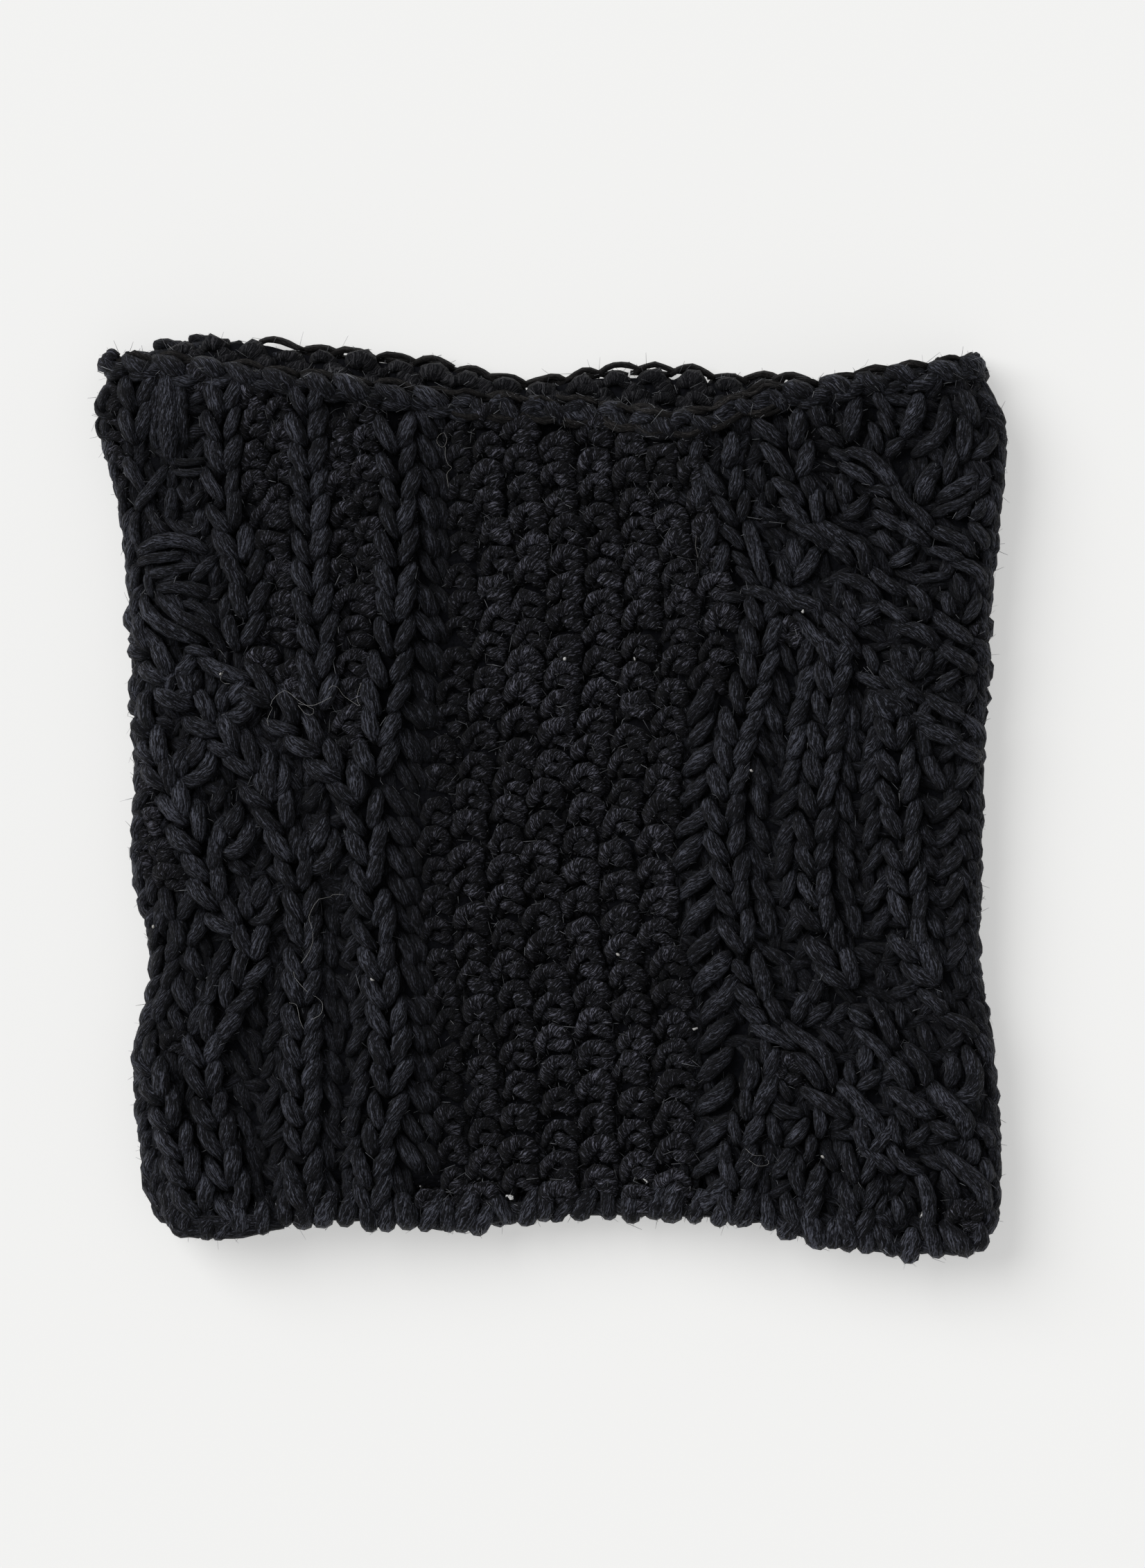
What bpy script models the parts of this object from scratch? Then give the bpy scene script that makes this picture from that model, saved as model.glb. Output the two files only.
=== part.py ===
"""Neck warmer: a knitted tube of thick wool, laid flat on a table with its neck end gaping a little.

Frame: metres, +X to the wearer's left across the tube, +Y from the hem to the neck, +Z up from the table.
The origin is the middle of the box of the whole piece, at the table.

The tube is four knitted pieces: the front panel, the back panel under it, the bound-off edge round the neck
and the cast-on edge round the hem. Every piece is a wall two strands of wool thick. All of them are cut from
one surface, wall_point(), whose sizes are the constants and the short tables below.
"""

import math
from collections import namedtuple

import bmesh
import bpy
from mathutils import Vector

# ---- driving sizes -------------------------------------------------------------------------------------
YARN = 0.0043                 # one strand of wool, across
WALL = 2 * YARN               # knitted cloth: two strands deep
HOLLOW = 0.0048               # clear height inside each of the two long lobes of the flattened tube
REST_GAP = 0.0004             # front over back, where the two panels lie on each other
SEAM = 0.0003                 # gap between neighbouring pieces
EDGE_BAND = 0.0085            # depth of the bound-off and cast-on edges

FOLD = (WALL + HOLLOW) / 2    # radius of the side fold, at the middle of the wall
SIDE = FOLD + WALL / 2        # what the side fold takes up, across
REST_AT = 0.47                # where across the tube the panels touch, 0 left to 1 right
REST_HALF = 0.07              # half the width of the stretch where they touch, as a share of the width
REST_FADE = 0.13              # share of the width over which the front panel then rises to the full hollow
MOUTH_FROM = 0.74             # how far up the tube the mouth starts to gape, 0 hem to 1 neck

# ---- steps of the mesh ---------------------------------------------------------------------------------
ACROSS = 30
FOLD_STEPS = 3
UP = 16

# ---- tables --------------------------------------------------------------------------------------------
Side = namedtuple("Side", "up left right")
SIDES = (
    Side(0.00, -0.1270, 0.1440),
    Side(0.08, -0.1340, 0.1462),
    Side(0.19, -0.1355, 0.1450),
    Side(0.31, -0.1300, 0.1398),
    Side(0.41, -0.1360, 0.1386),
    Side(0.54, -0.1350, 0.1408),
    Side(0.69, -0.1372, 0.1422),
    Side(0.82, -0.1412, 0.1458),
    Side(0.92, -0.1472, 0.1474),
    Side(1.00, -0.1458, 0.1392),
)

Edge = namedtuple("Edge", "across front back lift")
NECK = (
    Edge(0.00, 0.1424, 0.1424, 0.0000),
    Edge(0.07, 0.1410, 0.1474, 0.0030),
    Edge(0.14, 0.1393, 0.1502, 0.0055),
    Edge(0.21, 0.1366, 0.1463, 0.0055),
    Edge(0.30, 0.1332, 0.1440, 0.0035),
    Edge(0.40, 0.1302, 0.1405, 0.0010),
    Edge(0.48, 0.1288, 0.1350, 0.0000),
    Edge(0.56, 0.1276, 0.1387, 0.0030),
    Edge(0.66, 0.1230, 0.1385, 0.0065),
    Edge(0.74, 0.1305, 0.1362, 0.0050),
    Edge(0.85, 0.1359, 0.1350, 0.0020),
    Edge(1.00, 0.1418, 0.1418, 0.0000),
)

Hem = namedtuple("Hem", "across front back")
HEM = (
    Hem(0.00, -0.1395, -0.1395),
    Hem(0.06, -0.1436, -0.1420),
    Hem(0.19, -0.1391, -0.1380),
    Hem(0.34, -0.1417, -0.1400),
    Hem(0.51, -0.1380, -0.1370),
    Hem(0.70, -0.1398, -0.1390),
    Hem(0.80, -0.1468, -0.1440),
    Hem(0.89, -0.1501, -0.1480),
    Hem(0.97, -0.1484, -0.1470),
    Hem(1.00, -0.1425, -0.1425),
)

Rim = namedtuple("Rim", "through out")
RIM = (
    Rim(-0.50, 0.00),
    Rim(-0.50, 0.60),
    Rim(-0.28, 0.92),
    Rim(0.00, 1.00),
    Rim(0.28, 0.92),
    Rim(0.50, 0.60),
    Rim(0.50, 0.00),
)

Wool = namedtuple("Wool", "colour roughness")
WOOL = Wool((0.0085, 0.0087, 0.0105, 1.0), 0.95)
EDGE_WOOL = Wool((0.0095, 0.0090, 0.0098, 1.0), 0.95)


def smooth_read(table, column, at):
    """Read one column of a table at a place, along a smooth curve through its rows."""
    key = table[0]._fields[0]
    places = [getattr(row, key) for row in table]
    values = [getattr(row, column) for row in table]
    at = min(max(at, places[0]), places[-1])
    last = len(places) - 1
    low = max(i for i in range(last) if places[i] <= at or i == 0)
    span = places[low + 1] - places[low]

    def slope(i):
        before, after = max(i - 1, 0), min(i + 1, last)
        return (values[after] - values[before]) / (places[after] - places[before])

    t = (at - places[low]) / span
    return (
        values[low] * (2 * t**3 - 3 * t**2 + 1)
        + values[low + 1] * (3 * t**2 - 2 * t**3)
        + slope(low) * span * (t**3 - 2 * t**2 + t)
        + slope(low + 1) * span * (t**3 - t**2)
    )


def ease(value):
    """Smooth step from 0 to 1."""
    value = min(max(value, 0.0), 1.0)
    return value * value * (3 - 2 * value)


def hollow(across, up):
    """Clear height between the panels: two lobes, the stretch of contact between them, and the mouth."""
    lobe = ease((abs(across - REST_AT) - REST_HALF) / REST_FADE)
    gape = smooth_read(NECK, "lift", across) * ease((up - MOUTH_FROM) / (1 - MOUTH_FROM))
    return REST_GAP + (HOLLOW - REST_GAP + gape) * lobe


Place = namedtuple("Place", "layer across turn")


def layer_places(layer):
    """Places across one layer from its left side seam to its right one: a fold, the flat, a fold."""
    turns = [math.pi / 2 * i / FOLD_STEPS for i in range(FOLD_STEPS)]
    places = [Place(layer, 0.0, turn) for turn in turns]
    places += [Place(layer, i / ACROSS, math.pi / 2) for i in range(ACROSS + 1)]
    places += [Place(layer, 1.0, turn) for turn in reversed(turns)]
    return places


def wall_point(place, up, through, stand_back=0.0):
    """A point of the tube's wall.

    up runs 0 to 1 from hem to neck, through -0.5 to 0.5 from the inner to the outer face. stand_back is how
    far the point lies inside the finished edge line, in metres: positive from the neck, negative from the hem.
    """
    left = smooth_read(SIDES, "left", up)
    right = smooth_read(SIDES, "right", up)
    neck = smooth_read(NECK, place.layer, place.across)
    hem = smooth_read(HEM, place.layer, place.across)
    y = hem + (neck - hem) * up - stand_back

    radius = FOLD + through * WALL
    flat_left, flat_right = left + SIDE, right - SIDE
    centre_x = flat_left + (flat_right - flat_left) * place.across
    outward = -1 if place.across < 0.5 else 1
    x = centre_x + outward * radius * math.cos(place.turn)
    rise = max(radius * math.sin(place.turn), SEAM / 2)
    if place.layer == "back":
        return Vector((x, y, SIDE - rise))
    raised = hollow(place.across, up) - HOLLOW
    return Vector((x, y, SIDE + rise + raised * math.sin(place.turn)))


def make_object(name, mesh_builder, wool):
    """Turn a finished bmesh into a named object with its own material."""
    bmesh.ops.recalc_face_normals(mesh_builder, faces=mesh_builder.faces)
    mesh = bpy.data.meshes.new(name)
    mesh_builder.to_mesh(mesh)
    mesh_builder.free()
    material = bpy.data.materials.new(name + "_wool")
    material.use_nodes = True
    shader = material.node_tree.nodes["Principled BSDF"]
    shader.inputs["Base Color"].default_value = wool.colour
    shader.inputs["Roughness"].default_value = wool.roughness
    shader.inputs["Metallic"].default_value = 0.0
    mesh.materials.append(material)
    mesh.shade_smooth()
    mesh.set_sharp_from_angle(angle=math.radians(50))
    piece = bpy.data.objects.new(name, mesh)
    bpy.context.scene.collection.objects.link(piece)
    return piece


def lay_strip(builder, rows, closed):
    """Join neighbouring rows of vertices with quads; closed joins the last row to the first."""
    pairs = list(zip(rows, rows[1:]))
    if closed:
        pairs.append((rows[-1], rows[0]))
    for one, two in pairs:
        for i in range(len(one) - 1):
            builder.faces.new((one[i], one[i + 1], two[i + 1], two[i]))


def make_panel(name, layer):
    """A knitted panel: the wall of one layer, between the edge bands and between the side seams."""
    places = layer_places(layer)
    inset = EDGE_BAND + SEAM
    builder = bmesh.new()
    loops = []
    for step in range(UP + 1):
        up = step / UP
        stand_back = inset * (2 * up - 1)
        outer = [builder.verts.new(wall_point(p, up, 0.5, stand_back)) for p in places]
        inner = [builder.verts.new(wall_point(p, up, -0.5, stand_back)) for p in reversed(places)]
        loop = outer + inner
        loops.append(loop + loop[:1])
    lay_strip(builder, loops, closed=False)
    half = len(places)
    for loop in (loops[0], loops[-1]):
        outer, inner = loop[:half], loop[half:-1][::-1]
        lay_strip(builder, [outer, inner], closed=False)
    return make_object(name, builder, WOOL)


def make_edge(name, up):
    """The edge band round the whole opening: a ring with a rounded lip, at the neck (1) or the hem (0)."""
    round_places = layer_places("front") + layer_places("back")[::-1]
    direction = 2 * up - 1
    builder = bmesh.new()
    rings = []
    for place in round_places:
        ring = [
            builder.verts.new(wall_point(place, up, rim.through, direction * EDGE_BAND * (1 - rim.out)))
            for rim in RIM
        ]
        rings.append(ring + ring[:1])
    lay_strip(builder, rings, closed=True)
    return make_object(name, builder, EDGE_WOOL)


def main():
    """Clear the scene and build the four knitted pieces."""
    for existing in list(bpy.data.objects):
        bpy.data.objects.remove(existing, do_unlink=True)
    make_panel("back_panel", "back")
    make_panel("front_panel", "front")
    make_edge("cast_on_edge", 0)
    make_edge("bound_off_edge", 1)


main()
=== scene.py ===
"""Looks of a knitted neck warmer: a tube of thick single-ply wool laid flat, stitch by stitch.

Units are metres, and the tables of strands are in millimetres. +X runs across the tube, +Y from the hem to
the neck, +Z up from the table. Every strand of wool is charted on the tube's surface: a chart point has a
place across, a place up, and a rise above the outer face of the wall. TubeForm bends the chart round the
folds and over the hollow.
"""
import logging
import math
from dataclasses import dataclass, field, replace
from enum import Enum

import bmesh
import bpy
import numpy as np
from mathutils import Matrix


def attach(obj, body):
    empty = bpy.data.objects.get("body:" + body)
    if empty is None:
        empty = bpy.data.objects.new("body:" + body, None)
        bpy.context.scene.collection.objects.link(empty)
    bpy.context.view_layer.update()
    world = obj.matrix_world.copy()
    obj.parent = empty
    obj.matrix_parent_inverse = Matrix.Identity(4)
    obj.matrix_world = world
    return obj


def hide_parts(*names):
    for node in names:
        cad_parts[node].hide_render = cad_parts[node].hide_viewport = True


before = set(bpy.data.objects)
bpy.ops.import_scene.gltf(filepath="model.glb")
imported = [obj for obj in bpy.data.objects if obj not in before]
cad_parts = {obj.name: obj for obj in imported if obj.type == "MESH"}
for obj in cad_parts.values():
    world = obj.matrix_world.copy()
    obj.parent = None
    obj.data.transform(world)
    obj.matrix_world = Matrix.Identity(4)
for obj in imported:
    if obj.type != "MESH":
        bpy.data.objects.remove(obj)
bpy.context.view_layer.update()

LOG = logging.getLogger("neck_warmer")

Array = np.ndarray
Colour = tuple[float, float, float]
Material = bpy.types.Material
Piece = bpy.types.Object
Random = np.random.Generator
Socket = bpy.types.NodeSocket
Tree = bpy.types.NodeTree

MM = 0.001
QUARTER = math.pi / 2
NO_LENGTH = 1e-12
NO_SLOPE = 1e-9
THINNEST = 1.5e-5
TABLE_GAP = 3e-4
FIBRE_LENGTH = 0.02
FIBRE_SHIFT = 0.5
STRAND_UV = "strand"
STRAND_TONE = "tone"
# Each vertex's painted shade: 1 at the tops of the strands, falling to 0 deep in the wall, where the colour
# is darkened.
STRAND_PAINTED_SHADE = "open"
COURSES = 34
LOWEST_COURSE = -0.150
HEM_ROOM = 1.5 * MM
NECK_ROOM = 7.0 * MM
DEEP_ROOM = 5.0 * MM
PANEL = "panel"
SEAM = "seam"


class Layer(Enum):
    """One of the two layers of the flattened tube."""

    FRONT = "front"
    BACK = "back"


# ---- the form of the tube ------------------------------------------------------------------------------


@dataclass(frozen=True)
class Curve:
    """A smooth curve through the rows of a short table."""

    places: tuple[float, ...]
    values: tuple[float, ...]

    def read(self, at: Array) -> Array:
        """Read the curve.

        Args:
            at: places to read, clamped to the table's ends.

        Returns:
            The value at each place.
        """
        places, values = np.array(self.places), np.array(self.values)
        last = len(places) - 1
        at = np.clip(at, places[0], places[-1])
        low = np.clip(np.searchsorted(places, at, side="right") - 1, 0, last - 1)
        before, after = np.maximum(np.arange(last + 1) - 1, 0), np.minimum(np.arange(last + 1) + 1, last)
        slopes = (values[after] - values[before]) / (places[after] - places[before])
        span = places[low + 1] - places[low]
        t = (at - places[low]) / span
        return (
            values[low] * (2 * t**3 - 3 * t**2 + 1)
            + values[low + 1] * (3 * t**2 - 2 * t**3)
            + slopes[low] * span * (t**3 - 2 * t**2 + t)
            + slopes[low + 1] * span * (t**3 - t**2)
        )


def ease(value: Array) -> Array:
    """Smooth step from 0 to 1."""
    value = np.clip(value, 0.0, 1.0)
    return value * value * (3 - 2 * value)


SIDE_UP = (0, 0.08, 0.19, 0.31, 0.41, 0.54, 0.69, 0.82, 0.92, 0.97, 1)
NECK_ACROSS = (0, 0.07, 0.14, 0.21, 0.3, 0.4, 0.48, 0.56, 0.66, 0.74, 0.85, 1)
HEM_ACROSS = (0, 0.06, 0.19, 0.34, 0.51, 0.7, 0.8, 0.89, 0.97, 1)


@dataclass(frozen=True)
class TubeForm:
    """The shape that the tube lies in, the same as its solids have."""

    wall: float = 0.0086
    hollow: float = 0.0048
    rest_gap: float = 0.0004
    rest_at: float = 0.47
    rest_half: float = 0.07
    rest_fade: float = 0.13
    mouth_from: float = 0.74
    rounds: int = 4
    left: Curve = Curve(
        SIDE_UP,
        (-0.127, -0.1322, -0.1346, -0.1297, -0.1354, -0.1345, -0.1356, -0.1398, -0.1464, -0.1456, -0.1448),
    )
    right: Curve = Curve(
        SIDE_UP, (0.1438, 0.1448, 0.143, 0.1382, 0.1386, 0.1394, 0.141, 0.1449, 0.1458, 0.14, 0.139)
    )
    neck_front: Curve = Curve(
        NECK_ACROSS,
        (0.1424, 0.141, 0.1393, 0.1366, 0.1332, 0.1302, 0.1288, 0.1276, 0.123, 0.1305, 0.1359, 0.1418),
    )
    neck_back: Curve = Curve(
        NECK_ACROSS,
        (0.1424, 0.1474, 0.1502, 0.1463, 0.144, 0.1405, 0.135, 0.1387, 0.1385, 0.1362, 0.135, 0.1418),
    )
    neck_lift: Curve = Curve(
        NECK_ACROSS, (0, 0.003, 0.0055, 0.0055, 0.0035, 0.001, 0, 0.003, 0.0065, 0.005, 0.002, 0)
    )
    hem_front: Curve = Curve(
        HEM_ACROSS, (-0.1395, -0.1436, -0.1391, -0.1417, -0.138, -0.1398, -0.1468, -0.1501, -0.1484, -0.1425)
    )
    hem_back: Curve = Curve(
        HEM_ACROSS, (-0.1395, -0.142, -0.138, -0.14, -0.137, -0.139, -0.144, -0.148, -0.147, -0.1425)
    )

    @property
    def side(self) -> float:
        """Outer radius of the side folds."""
        return (self.wall + self.hollow) / 2 + self.wall / 2

    def neck(self, layer: Layer, across: Array) -> Array:
        """The neck edge line of one layer."""
        return (self.neck_front if layer is Layer.FRONT else self.neck_back).read(across)

    def hem(self, layer: Layer, across: Array) -> Array:
        """The hem edge line of one layer."""
        return (self.hem_front if layer is Layer.FRONT else self.hem_back).read(across)

    def flat(self, up: Array) -> tuple[Array, Array]:
        """The left and right ends of the flat part of a layer, at shares of the height."""
        return self.left.read(up) + self.side, self.right.read(up) - self.side

    def seams(self, up: float) -> tuple[float, float]:
        """Chart places of the middles of the left and right folds, at a share of the height."""
        left, right = self.flat(np.array(up))
        return float(left) - QUARTER * self.side, float(right) + QUARTER * self.side

    def raised(self, across: Array, up: Array) -> Array:
        """Work out how far the front panel lies above or below the full hollow.

        Args:
            across: shares of the width.
            up: shares of the height.

        Returns:
            The height above the full hollow.
        """
        lobe = ease((np.abs(across - self.rest_at) - self.rest_half) / self.rest_fade)
        gape = self.neck_lift.read(across) * ease((up - self.mouth_from) / (1 - self.mouth_from))
        return self.rest_gap + (self.hollow - self.rest_gap + gape) * lobe - self.hollow

    def share(self, layer: Layer, x: Array, y: Array) -> tuple[Array, Array]:
        """Turn chart places into shares of the tube's width and height.

        Args:
            layer: front or back.
            x: places across, in metres.
            y: places up, in metres.

        Returns:
            The share across (0 left to 1 right) and the share up (0 hem to 1 neck).
        """
        across, up = np.full_like(x, 0.5), np.full_like(x, 0.5)
        for _ in range(self.rounds):
            hem, neck = self.hem(layer, across), self.neck(layer, across)
            up = (y - hem) / (neck - hem)
            left, right = self.flat(up)
            across = np.clip((x - left) / (right - left), 0.0, 1.0)
        return across, up

    def place(self, layer: Layer, chart: Array) -> Array:
        """Bend chart points round the tube.

        Args:
            layer: front or back.
            chart: points of any shape (..., 3): across, up and rise above the outer face.

        Returns:
            Points in space, of the same shape.
        """
        x, y, rise = chart[..., 0], chart[..., 1], chart[..., 2]
        across, up = self.share(layer, x, y)
        left, right = self.flat(up)
        turn = (np.maximum(x - right, 0.0) - np.maximum(left - x, 0.0)) / self.side
        radius = self.side + rise
        world_x = np.clip(x, left, right) + radius * np.sin(turn)
        height = radius * np.cos(turn)
        if layer is Layer.BACK:
            return np.stack((world_x, y, self.side - height), -1)
        return np.stack((world_x, y, self.side + height + self.raised(across, up) * np.cos(turn)), -1)


# ---- strands of wool -----------------------------------------------------------------------------------


# Small ways off a strand that show which way is out: on the tube, over its edge, and off it.
NUDGE_OUT, NUDGE_ACROSS, NUDGE_FREE = (0.0, 0.0, 1e-4), (1e-4, 0.0, 0.0), (4e-5, 3e-5, 9e-5)


@dataclass(frozen=True)
class StrandForm:
    """The pattern mesh of a strand: a closed tube that each strand is bent from."""

    rings: int = 8
    sides: int = 8

    def build(self) -> tuple[Array, Array, Array, Array]:
        """Make the pattern with bmesh and read it.

        Returns:
            Vertices as (cos, sin, station 0 to 1), the vertex of each face corner, the place round the strand
            of each corner (0 to 1, with the seam underneath), and the number of corners of each face.
        """
        builder = bmesh.new()
        bmesh.ops.create_circle(builder, segments=self.sides, radius=1.0)
        edges = list(builder.edges)
        for _ in range(self.rings - 1):
            grown = bmesh.ops.extrude_edge_only(builder, edges=edges)["geom"]
            verts = [item for item in grown if isinstance(item, bmesh.types.BMVert)]
            edges = [item for item in grown if isinstance(item, bmesh.types.BMEdge)]
            edges = [edge for edge in edges if all(vert in verts for vert in edge.verts)]
            bmesh.ops.translate(builder, verts=verts, vec=(0.0, 0.0, 1.0 / (self.rings - 1)))
        bmesh.ops.holes_fill(builder, edges=builder.edges)
        bmesh.ops.recalc_face_normals(builder, faces=builder.faces)
        builder.verts.index_update()
        verts = np.array([vert.co[:] for vert in builder.verts])
        corners, turns, counts = [], [], []
        for face in builder.faces:
            turn = [math.atan2(vert.co.y, vert.co.x) / math.tau % 1.0 for vert in face.verts]
            wraps = max(turn) - min(turn) > 0.5 and len(turn) == 4
            turns += [1.0 if wraps and value < 0.25 else value for value in turn]
            corners += [vert.index for vert in face.verts]
            counts.append(len(turn))
        builder.free()
        return verts, np.array(corners), np.array(turns), np.array(counts)


def follow(knots: Array, stations: Array) -> Array:
    """Read smooth curves through knots.

    Args:
        knots: control values, shape (strands, knots, values).
        stations: where to read, 0 to 1, shape (stations,).

    Returns:
        Values of shape (strands, stations, values).
    """
    count = knots.shape[1]
    padded = np.concatenate((2 * knots[:, :1] - knots[:, 1:2], knots, 2 * knots[:, -1:] - knots[:, -2:-1]), 1)
    at = np.clip(stations, 0.0, 1.0) * (count - 1)
    low = np.minimum(at.astype(int), count - 2)
    t = (at - low)[None, :, None]
    a, b, c, d = (padded[:, low + step] for step in range(4))
    return 0.5 * (2 * b + (c - a) * t + (2 * a - 5 * b + 4 * c - d) * t**2 + (3 * b - a - 3 * c + d) * t**3)


def unit(way: Array) -> Array:
    """Directions of length 1."""
    return way / (np.linalg.norm(way, axis=-1, keepdims=True) + NO_LENGTH)


@dataclass
class StrandBatch:
    """Strands of one pattern that are bent and joined into one mesh.

    A strand that goes over an edge of the tube wraps: its frame is set by the way across, not by the way out.
    Fibres run along a strand, or across it where a stitch turns over. Without a tube, knots are in space.
    """

    form: StrandForm
    tube: TubeForm | None = None
    flat: float = 0.9
    twist: float = 0.35
    depth: tuple[float, float] = (6.2 * MM, 6.4 * MM)
    uneven: float = 0.05
    across: bool = False
    wraps: bool = False
    turned: tuple[float, ...] = (0.72, 0.3, 1.38, 0.4)
    knots: list[Array] = field(default_factory=list)
    layers: list[Layer] = field(default_factory=list)

    def add(self, layer: Layer, knots: "Array | list") -> None:
        """Add one strand, whose knots are rows of (across, up, rise, radius)."""
        self.knots.append(np.asarray(knots, float))
        self.layers.append(layer)

    def holds(self, layer: Layer, foot: Array, above_hem: float, below_neck: float) -> bool:
        """Tell whether a stitch fits between the hem and the neck.

        Args:
            layer: front or back.
            foot: chart place of the stitch's foot.
            above_hem: the least that it stands above the hem.
            below_neck: the least that it stands below the neck.

        Returns:
            Whether it fits.
        """
        across, _ = self.tube.share(layer, np.array([foot[0]]), np.array([foot[1]]))
        hem, neck = float(self.tube.hem(layer, across)[0]), float(self.tube.neck(layer, across)[0])
        return hem + above_hem < foot[1] < neck - below_neck

    def place(self, layer: Layer, chart: Array) -> Array:
        """Bend chart points round the tube, if the batch has one."""
        return chart if self.tube is None else self.tube.place(layer, chart)

    def frames(self, layer: Layer, chart: Array) -> tuple[Array, Array, Array]:
        """Work out how each ring of the strands stands.

        Args:
            layer: front or back.
            chart: chart points of the rings, shape (strands, rings, 3).

        Returns:
            The centres, the ways sideways and the ways out.
        """
        centre = self.place(layer, chart)
        tangent = unit(np.gradient(centre, axis=1))
        nudge = NUDGE_FREE if self.tube is None else NUDGE_ACROSS if self.wraps else NUDGE_OUT
        lifted = self.place(layer, chart + np.array(nudge)) - centre
        if self.wraps:
            normal = unit(np.cross(lifted, tangent))
        else:
            normal = unit(lifted - tangent * np.sum(lifted * tangent, -1, keepdims=True))
        return centre, np.cross(tangent, normal), normal

    def painted_shade_factor(self, rise: Array) -> Array:
        """Work out how open to the light points are: the painted shade that darkens their colour deep in the
        wall.

        Args:
            rise: their rise above the outer face.

        Returns:
            0 deep in the wall, where the painted shade is darkest, to 1 at the tops of the strands.
        """
        if self.tube is None or self.wraps:
            return np.ones_like(rise)
        below = np.minimum(-rise, rise + self.tube.wall)
        return np.clip((self.depth[0] - below) / self.depth[1], 0.0, 1.0)

    def fibres(self, run: Array, turns: Array) -> Array:
        """Lay the fibres on the strands.

        Args:
            run: how far along its strand each corner is, in fibre lengths.
            turns: how far round it.

        Returns:
            The corners' UVs.
        """
        uv = (run, turns + run * self.twist)
        if self.across:
            a, b, c, d = self.turned
            uv = (turns * a + run * b, run * c - turns * d)
        return np.stack(uv, -1).reshape(-1, 2)

    def bend(self, rng: Random) -> tuple[Array, ...]:
        """Bend every strand.

        Args:
            rng: source of each strand's own tone and of where its fibres start.

        Returns:
            Vertices, the vertex of each corner, corner UVs, corner counts, and each vertex's tone and
            painted shade.
        """
        pattern, corners, turns, counts = self.form.build()
        stations = np.linspace(0.0, 1.0, self.form.rings)
        ring_of = np.rint(pattern[:, 2] * (self.form.rings - 1)).astype(int)
        groups: dict[tuple[Layer, int], list[Array]] = {}
        for layer, knots in zip(self.layers, self.knots):
            groups.setdefault((layer, len(knots)), []).append(knots)
        out: list[tuple[Array, ...]] = []
        offset = 0
        for (layer, _), rows in groups.items():
            values = follow(np.stack(rows), stations)
            values[..., 3] *= 1 + self.uneven * rng.normal(size=values.shape[:2])
            centre, beside, normal = self.frames(layer, values[..., :3])
            radius = np.maximum(values[..., 3], THINNEST)[:, ring_of, None]
            radius = radius * (1 + self.uneven * rng.normal(size=radius.shape))
            points = (
                centre[:, ring_of]
                - normal[:, ring_of] * pattern[:, 0, None] * radius * self.flat
                + beside[:, ring_of] * pattern[:, 1, None] * radius
            )
            points[..., 2] = np.maximum(points[..., 2], TABLE_GAP)
            rise = values[:, ring_of, 2] - pattern[:, 0] * radius[..., 0] * self.flat
            step = np.linalg.norm(np.diff(centre, axis=1), axis=-1)
            along = np.concatenate((np.zeros((len(step), 1)), np.cumsum(step, 1)), 1)
            along = along + rng.random((len(step), 1)) * FIBRE_SHIFT
            strands, verts = points.shape[:2]
            shift = offset + np.arange(strands)[:, None] * verts
            out.append((
                points.reshape(-1, 3),
                (corners[None] + shift).ravel(),
                self.fibres(along[:, ring_of][:, corners] / FIBRE_LENGTH, turns),
                np.tile(counts, strands),
                np.repeat(rng.random(strands), verts),
                self.painted_shade_factor(rise).ravel(),
            ))
            offset += strands * verts
        return tuple(np.concatenate(column) for column in zip(*out))


@dataclass(frozen=True)
class Knitting:
    """What knits on one layer: the tube, the layer, and the source of the unevenness."""

    tube: TubeForm
    layer: Layer
    rng: Random

    @property
    def side(self) -> int:
        """1, or -1 on the back, whose charts are mirrored."""
        return 1 if self.layer is Layer.FRONT else -1


def dressed(mesh: bpy.types.Mesh, finish: Material) -> Piece:
    """Give a mesh its material and put it into the scene as an object of its name.

    Args:
        mesh: the mesh.
        finish: the material.

    Returns:
        The new object.
    """
    mesh.materials.append(finish)
    piece = bpy.data.objects.new(mesh.name, mesh)
    bpy.context.scene.collection.objects.link(piece)
    return piece


def joined_piece(name: str, batches: list[StrandBatch], finish: Material, seed: int) -> Piece:
    """Join batches of strands into one object with a UV map, a tone for each strand and each vertex's painted
    shade.

    Args:
        name: name of the piece.
        batches: the strands.
        finish: the material.
        seed: seed of the tones.

    Returns:
        The new object.
    """
    rng = np.random.default_rng(seed)
    parts = [batch.bend(rng) for batch in batches if batch.knots]
    shifts = np.cumsum([0] + [len(part[0]) for part in parts])
    verts, uv, counts, tones, painted_shade_factors = (np.concatenate([part[at] for part in parts]) for at in (0, 2, 3, 4, 5))
    corners = np.concatenate([part[1] + shift for part, shift in zip(parts, shifts)])
    mesh = bpy.data.meshes.new(name)
    mesh.vertices.add(len(verts))
    mesh.vertices.foreach_set("co", verts.ravel())
    mesh.loops.add(len(corners))
    mesh.loops.foreach_set("vertex_index", corners)
    mesh.polygons.add(len(counts))
    mesh.polygons.foreach_set("loop_start", np.cumsum(counts) - counts)
    mesh.update(calc_edges=True)
    mesh.uv_layers.new(name=STRAND_UV).data.foreach_set("uv", uv.ravel())
    for attribute, values in ((STRAND_TONE, tones), (STRAND_PAINTED_SHADE, painted_shade_factors)):
        mesh.attributes.new(attribute, "FLOAT", "POINT").data.foreach_set("value", values)
    mesh.shade_smooth()
    triangles = int((counts - 2).sum())
    LOG.info("%s: %d strands, %d triangles", name, sum(len(batch.knots) for batch in batches), triangles)
    return dressed(mesh, finish)


# ---- finishes ------------------------------------------------------------------------------------------


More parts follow.
